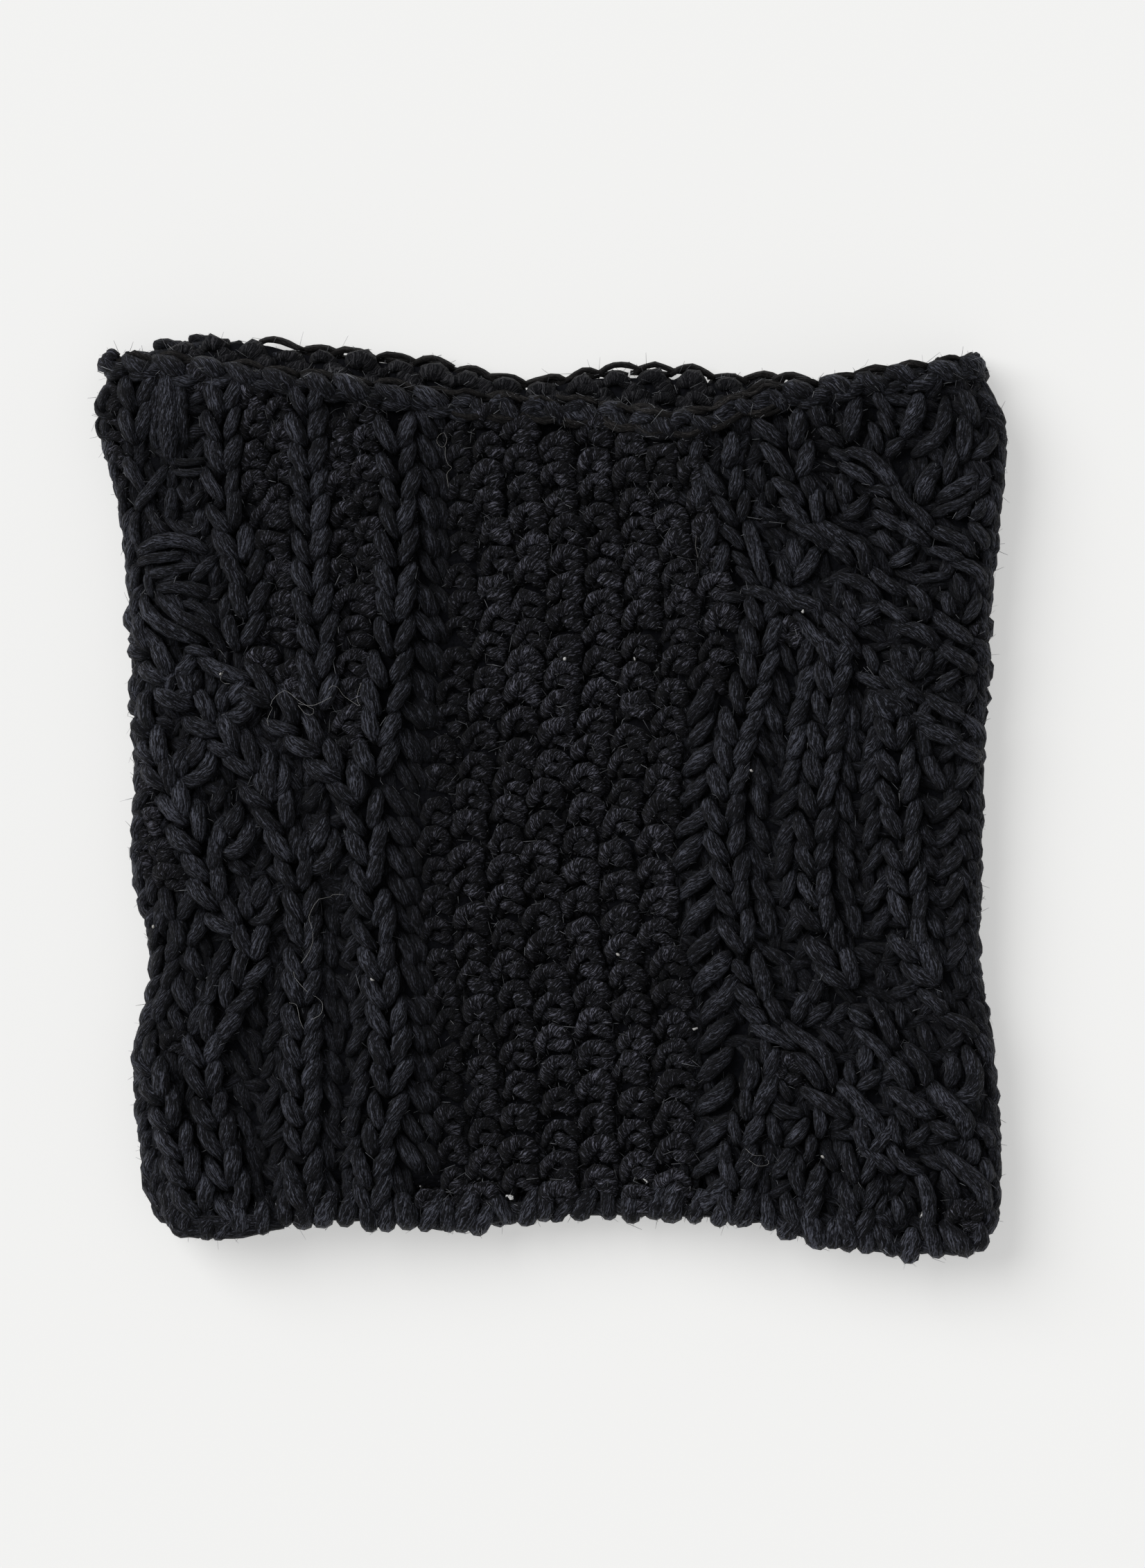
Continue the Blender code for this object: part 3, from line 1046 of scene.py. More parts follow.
# Strands of the irregular places, charted one by one: width, then the places along the strand.
TOP_STRANDS = (
    (5.2, 94.4, 109.5, 101.3, 107.7, 107.1, 102, 111.2, 97.3), (4.6, 92.1, 105.4, 99, 102, 103, 98.6),
    (3.6, 102, 97.6, 106, 96.8, 109, 95.2), (3.6, 103.2, 93.8, 107, 92.2, 110.6, 89.6),
    (4.8, 107.7, 101.4, 112.3, 93.9, 117, 89.5), (4.8, 112.8, 93.6, 118.5, 88.6, 122, 84),
    (4.7, 103.2, 90, 108, 87, 112.3, 85.2), (4.7, 109.8, 86.6, 115.5, 83.5, 121.4, 79.6),
    (5.2, 120, 84.6, 126, 82.6, 131.5, 80.6, 136, 76), (4.2, 121.4, 78.4, 127, 76.4, 132.4, 74.2),
    (4.7, 126, 74.6, 134, 72.6, 139.4, 69, 143, 64.6), (4.6, 134.8, 86.4, 138.4, 82.4, 142, 78.4),
    (5, 64, 119.6, 69.2, 115.6, 74.8, 111), (4.8, 67.4, 111.6, 72.7, 105.6, 77.2, 100),
    (4.8, 70.9, 100.4, 76.1, 96.8, 80.8, 92.4), (4.8, 73, 94, 78.2, 89.8, 82, 85.4),
    (5.2, 76, 86.4, 81.9, 84, 86.4, 81.6, 90.4, 78.4), (5.6, 78.8, 122.6, 78.4, 116.6, 77.6, 110.6),
    (5.4, 82.4, 112.8, 81.2, 106.6, 79.2, 100.8), (5, 80.4, 102, 82.4, 98, 83.6, 94.4),
    (5, 84, 98.8, 84.9, 92, 85.6, 85.6), (5.2, 84.2, 87.6, 90.6, 82.8, 95.6, 80),
    (5, 92, 83.2, 98.4, 79.6, 100.4, 74.6, 100.8, 69.6), (4.6, 88.4, 79.4, 93, 77.2, 96.6, 73.6),
    (4.6, 101.6, 72.6, 107.1, 67.2, 114.8, 63.4), (5, 114, 66, 119.4, 61, 119.6, 55),
    (5, 121.2, 58.8, 129.1, 52, 137.6, 47.4), (5, 136.6, 49, 141.4, 45, 145.6, 40.6),
    (4.8, 91.6, 69.4, 99.6, 67, 105.8, 61), (4.4, 104.6, 61.4, 110.6, 57.2, 114.8, 54.8),
    (5.8, 109.4, 53.6, 118.2, 51.6, 124.6, 46.6), (5.2, 124, 46.8, 131.4, 42.8, 139, 38.6),
    (5, 61.8, 88.4, 64.4, 81, 66.8, 73, 69.8, 65.6), (5.2, 70.6, 68.2, 77.3, 61.6, 84.6, 60, 86.8, 54),
    (4.6, 60.8, 65.4, 69.2, 63.2, 76.8, 58), (3.4, 54, 62.4, 58.2, 62.8, 62.4, 62),
    (5.2, 86.6, 57.6, 92.7, 51.4, 99, 44.2), (4, 100, 47, 102.6, 42.8, 104, 38.4),
    (5.2, 105, 41, 110.6, 35.2, 119.9, 29.2), (5.2, 119.4, 31.4, 126.8, 26.6, 133.2, 23.6),
    (5.2, 131.8, 25, 138.4, 19.6, 142.6, 12.8), (5.2, 78, 58, 84, 50, 90.9, 45, 95.4, 40.2),
    (4.2, 97.4, 38, 103.7, 35.2, 107.8, 33.4), (5.8, 102, 32.6, 110.6, 28.9, 115, 25.6),
    (3.6, 114.8, 25, 119.4, 23.8, 124, 21.8), (5.8, 118, 21.4, 125.6, 18.5, 132, 16.6),
    (5.2, 128.2, 16.6, 134.3, 12.8, 140.8, 11.4), (4.7, 48, 105.6, 50.7, 100, 55.8, 95.4),
    (5.8, 57.8, 115, 57.2, 110, 56.2, 104.8), (4.7, 59.6, 104.4, 59, 99, 58, 94),
    (4.2, 61.8, 97.4, 61.4, 92, 60.4, 87), (4.7, 51, 95.4, 55.3, 91, 59.2, 85.6),
    (5, 51, 90.4, 50.6, 84, 49.2, 77.8), (4.2, 53.6, 85.8, 57.8, 82.2, 61.6, 78.4),
    (5, 55.2, 80, 54.4, 75, 52.6, 69.8), (3.6, 57.6, 77, 61, 74.4, 64.6, 71.6),
    (3.6, 59.2, 72.4, 62.8, 69.6, 66.4, 66.4), (5.4, 65.2, -51, 67.4, -59, 69.6, -68.4),
    (4.8, 58.2, -54.2, 61, -57.4, 63.8, -60.8), (5.4, 58.2, -61.8, 62.4, -65.4, 66.2, -69),
    (5.2, 68.8, -65.2, 71.4, -69.4, 73.8, -73.6), (5, 61, -68.8, 65, -71.2, 68.6, -74.2),
    (5.2, 73.2, -72, 79.6, -79, 85.4, -81.6, 88.4, -87, 90.8, -94), (4.7, 64, -74.6, 70.4, -77.6, 79, -82),
    (5.4, 91, -92.2, 97.9, -98.6, 104.2, -106, 105.4, -111.6), (5.6, 76.6, -84, 83.1, -88.6, 87, -95),
    (5.6, 80, -95.4, 88.9, -100, 95.4, -104.2), (4.8, 107, -111.4, 111.8, -118.4, 119.9, -122),
    (4.8, 98.4, -113, 105.4, -118.2, 110, -121.6), (4.8, 117, -121, 120.8, -130, 120.4, -142),
    (4.8, 102, -65.8, 106.6, -73.2, 111, -82.4), (5.2, 113.4, -80.8, 119, -87, 120.6, -94),
    (6.6, 121, -92.2, 125.6, -98.6, 131.6, -103.6, 133.4, -111.4),
    (4.6, 95.4, -70.2, 99, -72.6, 102.4, -74.4), (4.6, 97.2, -75.8, 104.2, -81, 108.2, -86.2),
    (5.8, 107, -85.2, 111.8, -89.6, 115.2, -95), (5.8, 108.4, -95.4, 115.2, -99.4, 122.8, -104),
    (5.2, 121.4, -106, 126, -108.4, 130.4, -109.8), (5.2, 124, -71.4, 132.6, -74.2, 139, -78.8),
    (5.2, 117.4, -63.6, 123, -67.6, 126.6, -70.4), (5, 137.6, -76.4, 142, -82.4, 145.4, -90),
    (6.2, 125.4, -115.2, 132.6, -121.8, 138.6, -127, 141.8, -136.6),
    (4.6, 125.8, -121.4, 128, -125.4, 130, -129.8), (5, 139.8, -117.2, 141, -121.4, 141.6, -125.8),
    (4.2, 137, -106.4, 141, -110, 144.2, -114.2), (5.2, 63.9, -85, 64.2, -90, 63.2, -95),
    (4.2, 68, -79.2, 68.8, -83, 68.7, -87), (4.7, 72, -82, 70.6, -86.6, 68.8, -91),
    (6, 71.4, -89.4, 68.8, -96, 64.8, -104.4), (4.7, 62.3, -95.2, 62, -100, 63, -104.9),
    (4.2, 58, -102.8, 58.4, -107.6, 60, -113), (5.2, 67.2, -103.4, 65, -108, 61.4, -113.6),
    (4.2, 55.2, -112, 55.4, -116.4, 56.8, -121.2), (5.2, 65, -112.6, 62.8, -117.4, 59, -122.2),
    (5, -137.2, 75, -129.6, 79.2, -122.8, 81, -116.1, 80.2, -109.6, 77),
    (3.6, -137, 73, -129.6, 75, -123, 75.6, -117.6, 76.6), (4.2, -127.8, 65.4, -118.8, 65.8, -110.2, 62.8),
    (4.9, -128.4, 65.6, -121.5, 58, -114.7, 54, -109.3, 51.8, -104.8, 45),
    (4.9, -135, 65.6, -131.6, 59.2, -126.9, 54.6, -118.8, 50.6, -111.4, 48),
    (3.9, -117.4, 46, -113.4, 45.6, -108.8, 43.8), (5.4, -114, 43.4, -105.2, 38.6, -95.4, 36),
    (4.7, -137, 54.4, -128.2, 48.6, -124.2, 43, -119.6, 36.2), (3.8, -135, 90.4, -135.2, 84.6, -134.8, 79),
    (4.7, -137.6, 107.4, -134.4, 102.6, -131.2, 97), (4.2, -123, 105.4, -127.6, 98.6, -131.6, 94, -135, 90.6),
)
MIDDLE_STRANDS = (
    (4.2, 103.4, 128.6, 106, 124.4, 109.8, 120), (4.8, 98.4, 127.4, 96.4, 120.6, 94.8, 114),
    (3.8, 105, 122, 107.4, 118, 109.8, 114), (3.8, 102, 118.8, 104, 114, 105.6, 109),
    (6.2, 117.8, 128, 116.4, 121.4, 112.6, 114), (5.6, 126.4, 127, 125.8, 119.6, 123.3, 113.5, 115.8, 108.4),
    (5.2, 132, 121.4, 132.4, 114, 132, 107), (4.7, 131.6, 129.2, 134.4, 124, 136.4, 117.6),
    (4.2, 146, 117.8, 141.8, 112, 135, 107.2), (4.7, 112.4, 113.4, 110, 111, 107.8, 108.4),
    (6.6, 124, 105.6, 119.9, 99, 119, 92.8), (4.4, 128.8, 110.8, 127.8, 105, 126.6, 99),
    (5, 137.2, 102.6, 129.7, 97.4, 123.4, 93.4), (4, 138.4, 97.8, 133.7, 94, 126.8, 91.2, 121.6, 88.8),
    (3.2, 134.2, 92, 132, 90, 129.8, 88.2), (4.2, 139.4, 94, 137.6, 90.4, 135, 87.6),
    (5, 143.4, 96, 142.8, 90.6, 141.6, 85.6), (4.2, 105, 83.6, 107.2, 80.4, 109.8, 77.4),
    (4.7, 116.4, 79, 112.8, 75.8, 108.8, 73), (2.6, 114.8, 70.6, 118, 72.2, 121.6, 73),
    (3, 115.2, 67.6, 122, 69, 128.6, 70), (4.7, 129.8, 70, 131.4, 65.4, 133, 61),
    (4.7, 126.4, 64, 127, 60.4, 128.9, 57), (4.7, 139, 65.4, 136.8, 59.8, 133.8, 54.6),
    (5.2, 94, 64.2, 96.2, 60, 99.4, 55.8), (3.6, 93.4, 57.6, 95.4, 54.8, 97.8, 52),
    (4.7, 104.8, 59.6, 101.4, 57, 98.4, 54.2), (5.2, 109.6, 45.8, 111.8, 41, 115.2, 36.2),
    (3.6, 114.8, 46.6, 116.2, 44, 117.8, 41.6), (4.2, 121.4, 45.6, 119.6, 41, 116.6, 36.6),
    (4.2, 131, 39.2, 127, 36, 123.2, 32.8), (3.6, 135.6, 36.8, 135.8, 32.8, 135.4, 28.6),
    (5.8, 77, 81.2, 78, 77, 79.8, 72.8), (5.2, 84.8, 78.4, 82, 72.6, 77.4, 67),
    (4.6, 73, 74.8, 74.4, 70.6, 76.4, 66.4), (5.8, 84, 125, 85, 121, 87.4, 117.8),
    (5.6, 97.2, 127, 96.6, 120, 95, 112.8), (4, 85.6, 117.4, 89, 114.6, 93.4, 111.8),
    (3.6, 89, 109.8, 92, 108.2, 95.8, 106.8), (5.6, 92.6, 101.4, 93.2, 97.4, 94.9, 93),
    (4.6, 101, 95, 98, 91, 93.6, 88), (3.6, 88.7, 96.8, 89.4, 93, 90.8, 89.6),
    (3.6, 69.6, 99.6, 70, 96.4, 71.1, 93), (3.4, 64, 91.6, 68.8, 89.4, 73.2, 87.6),
    (4.6, 46.6, 113.6, 46.2, 110, 46, 106.2), (5.6, 46.4, 104.2, 47.6, 97.4, 47.8, 90),
    (6.2, 57, -51.6, 53, -56, 48, -60.8), (6, 59, -59, 56.4, -64.4, 52.8, -70),
    (5.2, 81.6, -64.8, 79.6, -69, 78.3, -73.4), (4.6, 86.2, -59.6, 84.6, -63.6, 83.5, -67.6),
    (4.6, 89.4, -67.8, 85.4, -70.8, 81, -74.6), (4.6, 70.4, -100.4, 75, -102.4, 80.8, -103.2),
    (3.6, 72.4, -92, 74.6, -95.4, 77, -99), (4.6, 70.2, -103.4, 71, -108, 73, -112.4),
    (4.6, 85.2, -100.8, 86.2, -105.6, 86, -110.6), (4.6, 82, -104.8, 78.8, -109.4, 75.2, -113.4),
    (4.1, 83.3, -110, 83, -114, 81.7, -118.6), (5.2, 77, -114, 74.6, -119, 71.2, -123.4),
    (3.6, 79, -116.4, 79.4, -120, 79, -123.8), (3.6, 111.6, -67.6, 111.8, -71.4, 112.4, -75.4),
    (5.2, 128.8, -85, 128.8, -89, 127.8, -94), (6.6, 133.6, -81.6, 136.4, -89.6, 134.9, -96.4, 129.8, -98),
    (5.2, 100.4, -81.6, 100.8, -85, 100, -89.2), (4.1, 95.4, -86.2, 95.4, -90, 96.9, -93.2),
    (4.6, 105.4, -89.2, 102, -92.4, 98.4, -95), (4.1, 95.6, -107.8, 99.4, -110, 103.8, -112.2),
    (3.6, 110.8, -102, 113.2, -105, 116.2, -108.2), (4.6, 109.2, -104.2, 109.6, -108.4, 111.4, -112.9),
    (4.6, 121.4, -106.6, 118, -110.4, 114.2, -113.4), (4.6, 135.4, -111, 135.9, -115, 135.5, -119.4),
    (4.1, 130, -130.2, 131.6, -133.6, 134, -136.6), (4.8, 98.4, -126.2, 98.4, -129, 99.8, -131.4),
    (5.6, 94.8, -131.4, 94.6, -135, 96.3, -139), (3.6, 106.8, -129, 105.6, -132.4, 104.6, -135.6),
    (4.6, 110, -130, 111.4, -134, 112.2, -138), (4.6, 101, -137.4, 105.6, -136, 109.8, -139.6),
    (4.2, -133.6, 70, -126.2, 70.4, -118.8, 72.1, -112.8, 72.9), (4, -115.8, 67.6, -112, 71.6, -107.6, 75.8),
    (3.2, -131.2, 70.6, -130.4, 67, -129.4, 62.8), (3, -119, 61, -113.4, 59.4, -107.6, 54.8),
    (4.2, -121.8, 97.8, -121.8, 94.4, -121.8, 91), (3, -117.8, 90.6, -114.6, 94, -111.6, 97.4),
    (3.4, -129, 91, -126.4, 86, -122.4, 82.4), (3, -125, 90, -120.1, 84.4, -114.7, 83.6, -110.6, 88.8),
    (2.8, -122.4, 106.4, -117, 105.8, -110.4, 106.8), (2.8, -122, 103, -116.4, 102.4, -110.8, 103.4),
)


@dataclass(frozen=True)
class Ground(Knitting):
    """The ground between the ribs, course by course.

    The uneven values are those of a strand's shift across, shift up, level and thickness. Tufts are the short
    strands deep down; their measures are in millimetres and degrees.
    """

    course: float = 9.4 * MM
    column: float = 11.0 * MM
    lap: float = 0.9 * MM
    narrowest: float = 3.5 * MM
    drop: float = 0.45
    height: float = 0.28
    neck_share: float = 0.6
    thick_share: float = 0.25
    size_spread: float = 0.05
    place_spread: float = 0.35 * MM
    knot_spread: float = 0.24 * MM
    uneven: tuple[float, ...] = (0.25 * MM, 0.25 * MM, 0.35 * MM, 0.09)
    tuft_step: tuple[float, float] = (7.0, 7.6)
    tuft_spread: float = 1.2
    tuft_lean: tuple[float, float] = (125, 38)
    tuft_half: tuple[float, float] = (4.6, 6.8)
    tuft_bow: float = 0.3
    tuft_room: float = 9.0 * MM
    charted_radius: float = 0.46
    charted_spread: float = 0.3
    loop_level: float = 2.0
    loop_spread: tuple[float, ...] = (5, 0.06)
    loop_uneven: tuple[float, ...] = (0.3, 0.3, 0.06)

    def add(
        self, batch: StrandBatch, fill: Fill, x: float, y: float, width: float, height: float,
        raised: float = 0.0,
    ) -> None:
        """Add one unit of the ground, a little tilted, shifted and stretched, if it fits.

        Args:
            batch: takes the strands.
            fill: which unit.
            x: its left end.
            y: its lower end.
            width: width of the unit.
            height: height of a course.
            raised: how far the unit stands above its usual level.
        """
        above_hem = DEEP_ROOM if fill is Fill.DEEP else HEM_ROOM
        if not batch.holds(self.layer, (x + width / 2, y), above_hem, NECK_ROOM + height * self.neck_share):
            return
        rng = self.rng
        shapes, thickest, level, tilt = fill.value
        turn = tilt * rng.normal()
        grow = 1 + self.size_spread * rng.normal()
        middle = np.array((x + width / 2, y + height / 2)) + rng.normal(0, self.place_spread, 2)
        along, up = np.array((math.cos(turn), math.sin(turn))), np.array((-math.sin(turn), math.cos(turn)))
        for shape in shapes:
            table = np.array(shape)
            shift = rng.normal(0, 1, 4) * self.uneven
            across = (table[:, :1] - 0.5) * width * grow + shift[0]
            above = (table[:, 1:2] - 0.5) * height * grow + shift[1]
            across, above = (at + rng.normal(0, self.knot_spread, at.shape) for at in (across, above))
            high = level + raised + table[:, 2] * MM + shift[2]
            radius = min(thickest, width * self.thick_share) * (1 + shift[3]) * table[:, 3]
            batch.add(self.layer, np.column_stack((middle + across * along + above * up, high, radius)))

    def gaps(self, ribs: tuple[RibLine, ...], y: float, half: float) -> list:
        """Find the gaps between the ribs on one course, from seam to seam.

        Args:
            ribs: the ribs of the layer.
            y: height of the course.
            half: half the width of a rib.

        Returns:
            For each gap its left end, its right end and the names of what is on its two sides.
        """
        (edge, end), beside = self.tube.seams(0.5 + y / self.height), SEAM
        crossings = [(rib.crossing(y, half), rib.name) for rib in ribs]
        found = []
        for (left, right), name in sorted((place, name) for place, name in crossings if place):
            if left - edge > self.narrowest:
                found.append((edge, left, {beside, name}))
            if right > edge:
                edge, beside = right, name
        if end - edge > self.narrowest:
            found.append((edge, end, {beside, SEAM}))
        return found

    def knit(self, batches: dict[Fill, StrandBatch], ribs: tuple[RibLine, ...], half: float) -> None:
        """Fill every gap except the middle panel.

        Args:
            batches: take the strands of each kind of ground.
            ribs: the ribs of the layer.
            half: half the width of a rib.
        """
        for row in range(COURSES):
            y = LOWEST_COURSE + row * self.course
            for left, right, sides in self.gaps(ribs, y + self.course / 2, half):
                if left < 0 < right:
                    right, sides = panel_edges(y)[0], {PANEL}
                    if right - left < self.narrowest:
                        continue
                patch = next((one for one in PATCHES if one.covers(sides, y)), None)
                left, right = left - self.lap, right + self.lap
                columns = patch.columns if patch else max(1, round((right - left) / self.column))
                width = (right - left) / columns
                for column in range(columns):
                    fill = patch.fill if patch else Fill.PURL
                    if PANEL in sides and column == 0:
                        fill = Fill.LEAF
                    base = y - (self.drop * column % 1.0) * self.course
                    self.add(batches[fill], fill, left + width * column, base, width, self.course)

    def under(self, batch: StrandBatch) -> None:
        """Lay short strands deep under the irregular places, so that their gaps hold wool.

        Args:
            batch: takes the strands.
        """
        rng, side = self.rng, self.side
        rise = np.array((-6.4, -5.0, -4.6, -5.0, -6.4)) * MM
        radius = np.array((1.5, 2.1, 2.2, 2.1, 1.5)) * MM
        lean, spread = self.tuft_lean
        for low, high in ((-139.0, -58.0), (45.0, 146.0)):
            for x in np.arange(low, high, self.tuft_step[0]):
                for y in np.arange(-140.0, 128.0, self.tuft_step[1]):
                    middle = (np.array((x, y)) + rng.normal(0, self.tuft_spread, 2)) * (side * MM, MM)
                    turn = math.radians(lean + spread * rng.normal()) * side
                    way = np.array((math.cos(turn), math.sin(turn))) * rng.uniform(*self.tuft_half) * MM
                    bow = np.array((-way[1], way[0])) * self.tuft_bow * rng.normal()
                    if batch.holds(self.layer, middle, self.tuft_room, self.tuft_room):
                        shares = (-1, -0.5, 0, 0.5, 1)
                        line = [middle + way * share + bow * (1 - share * share) for share in shares]
                        batch.add(self.layer, np.column_stack((line, rise, radius)))

    def charted(self, batch: StrandBatch, rows: tuple, level: float) -> None:
        """Add strands that are charted one by one; their ends are tucked in.

        Args:
            batch: takes the strands.
            rows: width of a strand and the places along it, in millimetres.
            level: rise of the strands' middle.
        """
        stations = np.array((0.0, 0.14, 0.38, 0.64, 0.87, 1.0))
        shape = np.array(((-2.6, 0.5), (-0.5, 0.9), (0.5, 1.08), (0.5, 1.08), (-0.5, 0.9), (-2.6, 0.5)))
        for width, *places in rows:
            places = np.array(places, float).reshape(-1, 2) * (self.side, 1)
            line = follow(places[None], stations)[0] * MM
            rise = level + (shape[:, 0] + self.charted_spread * self.rng.normal()) * MM
            radius = self.charted_radius * width * MM * shape[:, 1]
            batch.add(self.layer, np.column_stack((line, rise, radius)))

    def loops(self, batch: StrandBatch) -> None:
        """Add the loops of two short legs and a hook that stand between travelling ribs.

        Args:
            batch: takes the strands.
        """
        for x, y, lean in LOOPS:
            turn = math.radians(self.side * lean + self.loop_spread[0] * self.rng.normal())
            grow = 1 + self.loop_spread[1] * self.rng.normal()
            for shape in LOOP:
                table = np.array(shape)
                wobble = self.rng.normal(0, 1, 3) * self.loop_uneven
                across, above = table[:, 0] * grow + wobble[0], table[:, 1] * grow + wobble[1]
                rows = (
                    self.side * x + across * math.cos(turn) + above * math.sin(turn),
                    y - across * math.sin(turn) + above * math.cos(turn),
                    table[:, 2] - self.loop_level,
                    table[:, 3] * (1 + wobble[2]),
                )
                batch.add(self.layer, np.column_stack(rows) * MM)


# The middles of the panel's columns at a few heights: the height first.
PANEL_COLUMNS = (
    (-150, -31, -21, -9, 3, 15.5, 27.5, 39.5, 52), (-100, -33, -23, -11, 2, 14.5, 26.5, 38.5, 52),
    (-75, -33.5, -23, -12, 0.5, 14, 27, 40, 54), (-50, -37, -26, -15, -2, 10.5, 22, 34.5, 48),
    (-25, -38, -27, -15, -3, 9.5, 21, 33, 45), (0, -36, -25, -13.5, -0.5, 11, 24, 36, 47),
    (25, -32, -20.5, -9, 3, 15, 27, 38, 48.5), (50, -29, -18.5, -7, 4.5, 17, 29.5, 42, 54.5),
    (75, -28.5, -18, -6.5, 5, 17, 29, 41, 51), (100, -30, -20.5, -10.5, 1, 13.5, 25.5, 36, 45),
    (135, -31, -21, -10, 2, 14, 26, 37, 46),
)


def panel_edges(y: float) -> Array:
    """Find where the columns of the middle panel begin and end.

    Args:
        y: the height.

    Returns:
        The columns' edges there, from left to right.
    """
    table = np.array(PANEL_COLUMNS, float) * MM
    middles = np.array([np.interp(y, table[:, 0], column) for column in table[:, 1:].T])
    gaps = (middles[1:] + middles[:-1]) / 2
    return np.concatenate(([2 * middles[0] - gaps[0]], gaps, [2 * middles[-1] - gaps[-1]]))


@dataclass(frozen=True)
class PurlPanel(Knitting):
    """The middle panel: columns of purl bumps, every second column half a course lower."""

    course: float = 10.3 * MM
    tighter: float = 0.022 * MM
    lowered: float = 0.48
    raised: tuple[float, ...] = (-1.6, 0.1, 1.0, 1.1, 1.1, 0.9, 0.5, 0.3)
    leaves_below: float = 30.0 * MM

    def knit(self, batch: StrandBatch, leaves: StrandBatch, ground: Ground) -> None:
        """Add every bump: an arch whose left limb runs on into the groove, and the foot that shows under it.

        Args:
            batch: takes the strands of the bumps.
            leaves: takes the broad strands of the last column.
            ground: adds the units.
        """
        last = len(self.raised) - 1
        for row in range(COURSES):
            for column, raised in enumerate(self.raised):
                at = row - self.lowered * (column % 2)
                y = LOWEST_COURSE + at * self.course - at * at * self.tighter
                left, right = panel_edges(y)[column:column + 2]
                course = self.course - 2 * at * self.tighter
                leaf = column == last and y < self.leaves_below
                fill, taker = (Fill.BROAD_LEAF, leaves) if leaf else (Fill.PURL, batch)
                ground.add(taker, fill, left, y, right - left, course, raised * MM)


# The strands of the edges: share of the pitch, height over the edge, rise and radius.
CHAIN_STITCH = (
    (
        (0.02, -7.6, -4.2, 1.4), (0.12, -5.6, -2.2, 2.3), (0.32, -3.9, -1.4, 2.7), (0.54, -3.5, -1.7, 2.5),
        (0.72, -4.6, -3.8, 1.5),
    ),
    (
        (0.46, -3.4, -4, 1.4), (0.6, -4.4, -2, 2.3), (0.78, -6, -1.5, 2.6), (0.94, -7.8, -2.2, 2.3),
        (1.04, -9.4, -4.2, 1.5),
    ),
    (
        (-0.1, -6.2, -3.8, 1.9), (0.15, -7, -2.9, 2.4), (0.4, -7.4, -2.5, 2.5), (0.65, -6.8, -2.8, 2.4),
        (0.9, -6, -3.8, 1.9),
    ),
)
ROLL = (
    (
        (-0.08, -2.4, -3.8, 1.5), (0.12, -2.9, -1.7, 2.4), (0.38, -4.1, -0.7, 2.9), (0.64, -5.4, -1.3, 2.6),
        (0.84, -6.4, -3.8, 1.5),
    ),
    (
        (0.38, -8.6, -3.8, 1.4), (0.6, -8.2, -2, 2.1), (0.86, -7.5, -1.6, 2.3), (1.1, -6.4, -2.2, 2.1),
        (1.26, -5.2, -4, 1.4),
    ),
    (
        (-0.1, -5.2, -4.4, 1.9), (0.15, -6, -3.4, 2.4), (0.4, -6.4, -3.2, 2.5), (0.65, -5.8, -3.4, 2.4),
        (0.9, -5, -4.4, 1.9),
    ),
)
CORDS = (
    (
        (-0.04, -2.6, -4.2, 1), (0.22, -1.4, -3, 1.2), (0.5, -0.8, -2.6, 1.3), (0.8, -1.5, -3.1, 1.2),
        (1.04, -2.7, -4.2, 1),
    ),
    (
        (-0.05, -1.6, -1.8, 0.8), (0.25, -2.6, -0.6, 0.9), (0.52, -1.3, -0.5, 0.9), (0.78, -2.1, -1, 0.9),
        (1.05, -2.9, -2.2, 0.8),
    ),
    (
        (-0.1, -6.4, -2.4, 0.7), (0.12, -7.8, -0.9, 0.9), (0.44, -8.9, -0.5, 1), (0.8, -7.8, -0.9, 0.9),
        (1.08, -6.2, -2.4, 0.7),
    ),
    (
        (-0.06, -8.2, -2.1, 0.7), (0.2, -9.2, -1.1, 0.8), (0.5, -10, -0.9, 0.8), (0.82, -9, -1.3, 0.8),
        (1.06, -7.9, -2.4, 0.7),
    ),
)
ARCS = (
    (
        (-0.1, -3.2, -4.6, 0.95), (0.18, -1.5, -4.4, 1.1), (0.48, -0.7, -4.3, 1.15), (0.78, -1.4, -4.4, 1.1),
        (1.08, -3.1, -4.6, 0.95),
    ),
    (
        (-0.1, -3.7, -3.4, 1), (0.16, -3.5, -3.2, 1.05), (0.44, -3.5, -3.1, 1.1), (0.72, -3.5, -3.2, 1.05),
        (1.04, -3.9, -3.4, 1),
    ),
)
INNER_KNOTS = (
    (
        (-0.04, -5.2, -2.6, 1.6), (0.12, -3.6, -0.9, 2.3), (0.32, -2.9, -0.4, 2.6), (0.52, -3.9, -1, 2.4),
        (0.66, -5.4, -2.8, 1.6),
    ),
    (
        (0.4, -4.2, -2.6, 1.5), (0.56, -5.2, -0.8, 2.3), (0.76, -6.8, -0.6, 2.5), (0.92, -6.6, -1.2, 2.2),
        (1.04, -5.2, -2.8, 1.5),
    ),
)
HEM_BAND = (
    ((-0.1, 5, -5, 2), (0.2, 4.2, -3.8, 2.3), (0.5, 4.7, -3.4, 2.5), (0.8, 4.1, -4, 2.3), (1.1, 4.9, -5, 2)),
)
KNOB = (
    (-0.4, 12, -3.9, 0.62), (-0.24, 8.2, -2.2, 0.94), (-0.04, 4.4, -1.9, 1.06), (0.08, 2, -3.6, 1.08),
    (0.14, 2.6, -6.2, 1.02), (0.22, 6.6, -6.6, 0.8),
)
LEFT_END, MIDDLE, RIGHT_END = (-0.2, -0.036), (-0.036, 0.078), (0.078, 0.2)
BACK_LEFT, BACK_MIDDLE, BACK_RIGHT, WHOLE = (-0.2, -0.098), (-0.098, 0.052), (0.052, 0.2), (-1.0, 1.0)


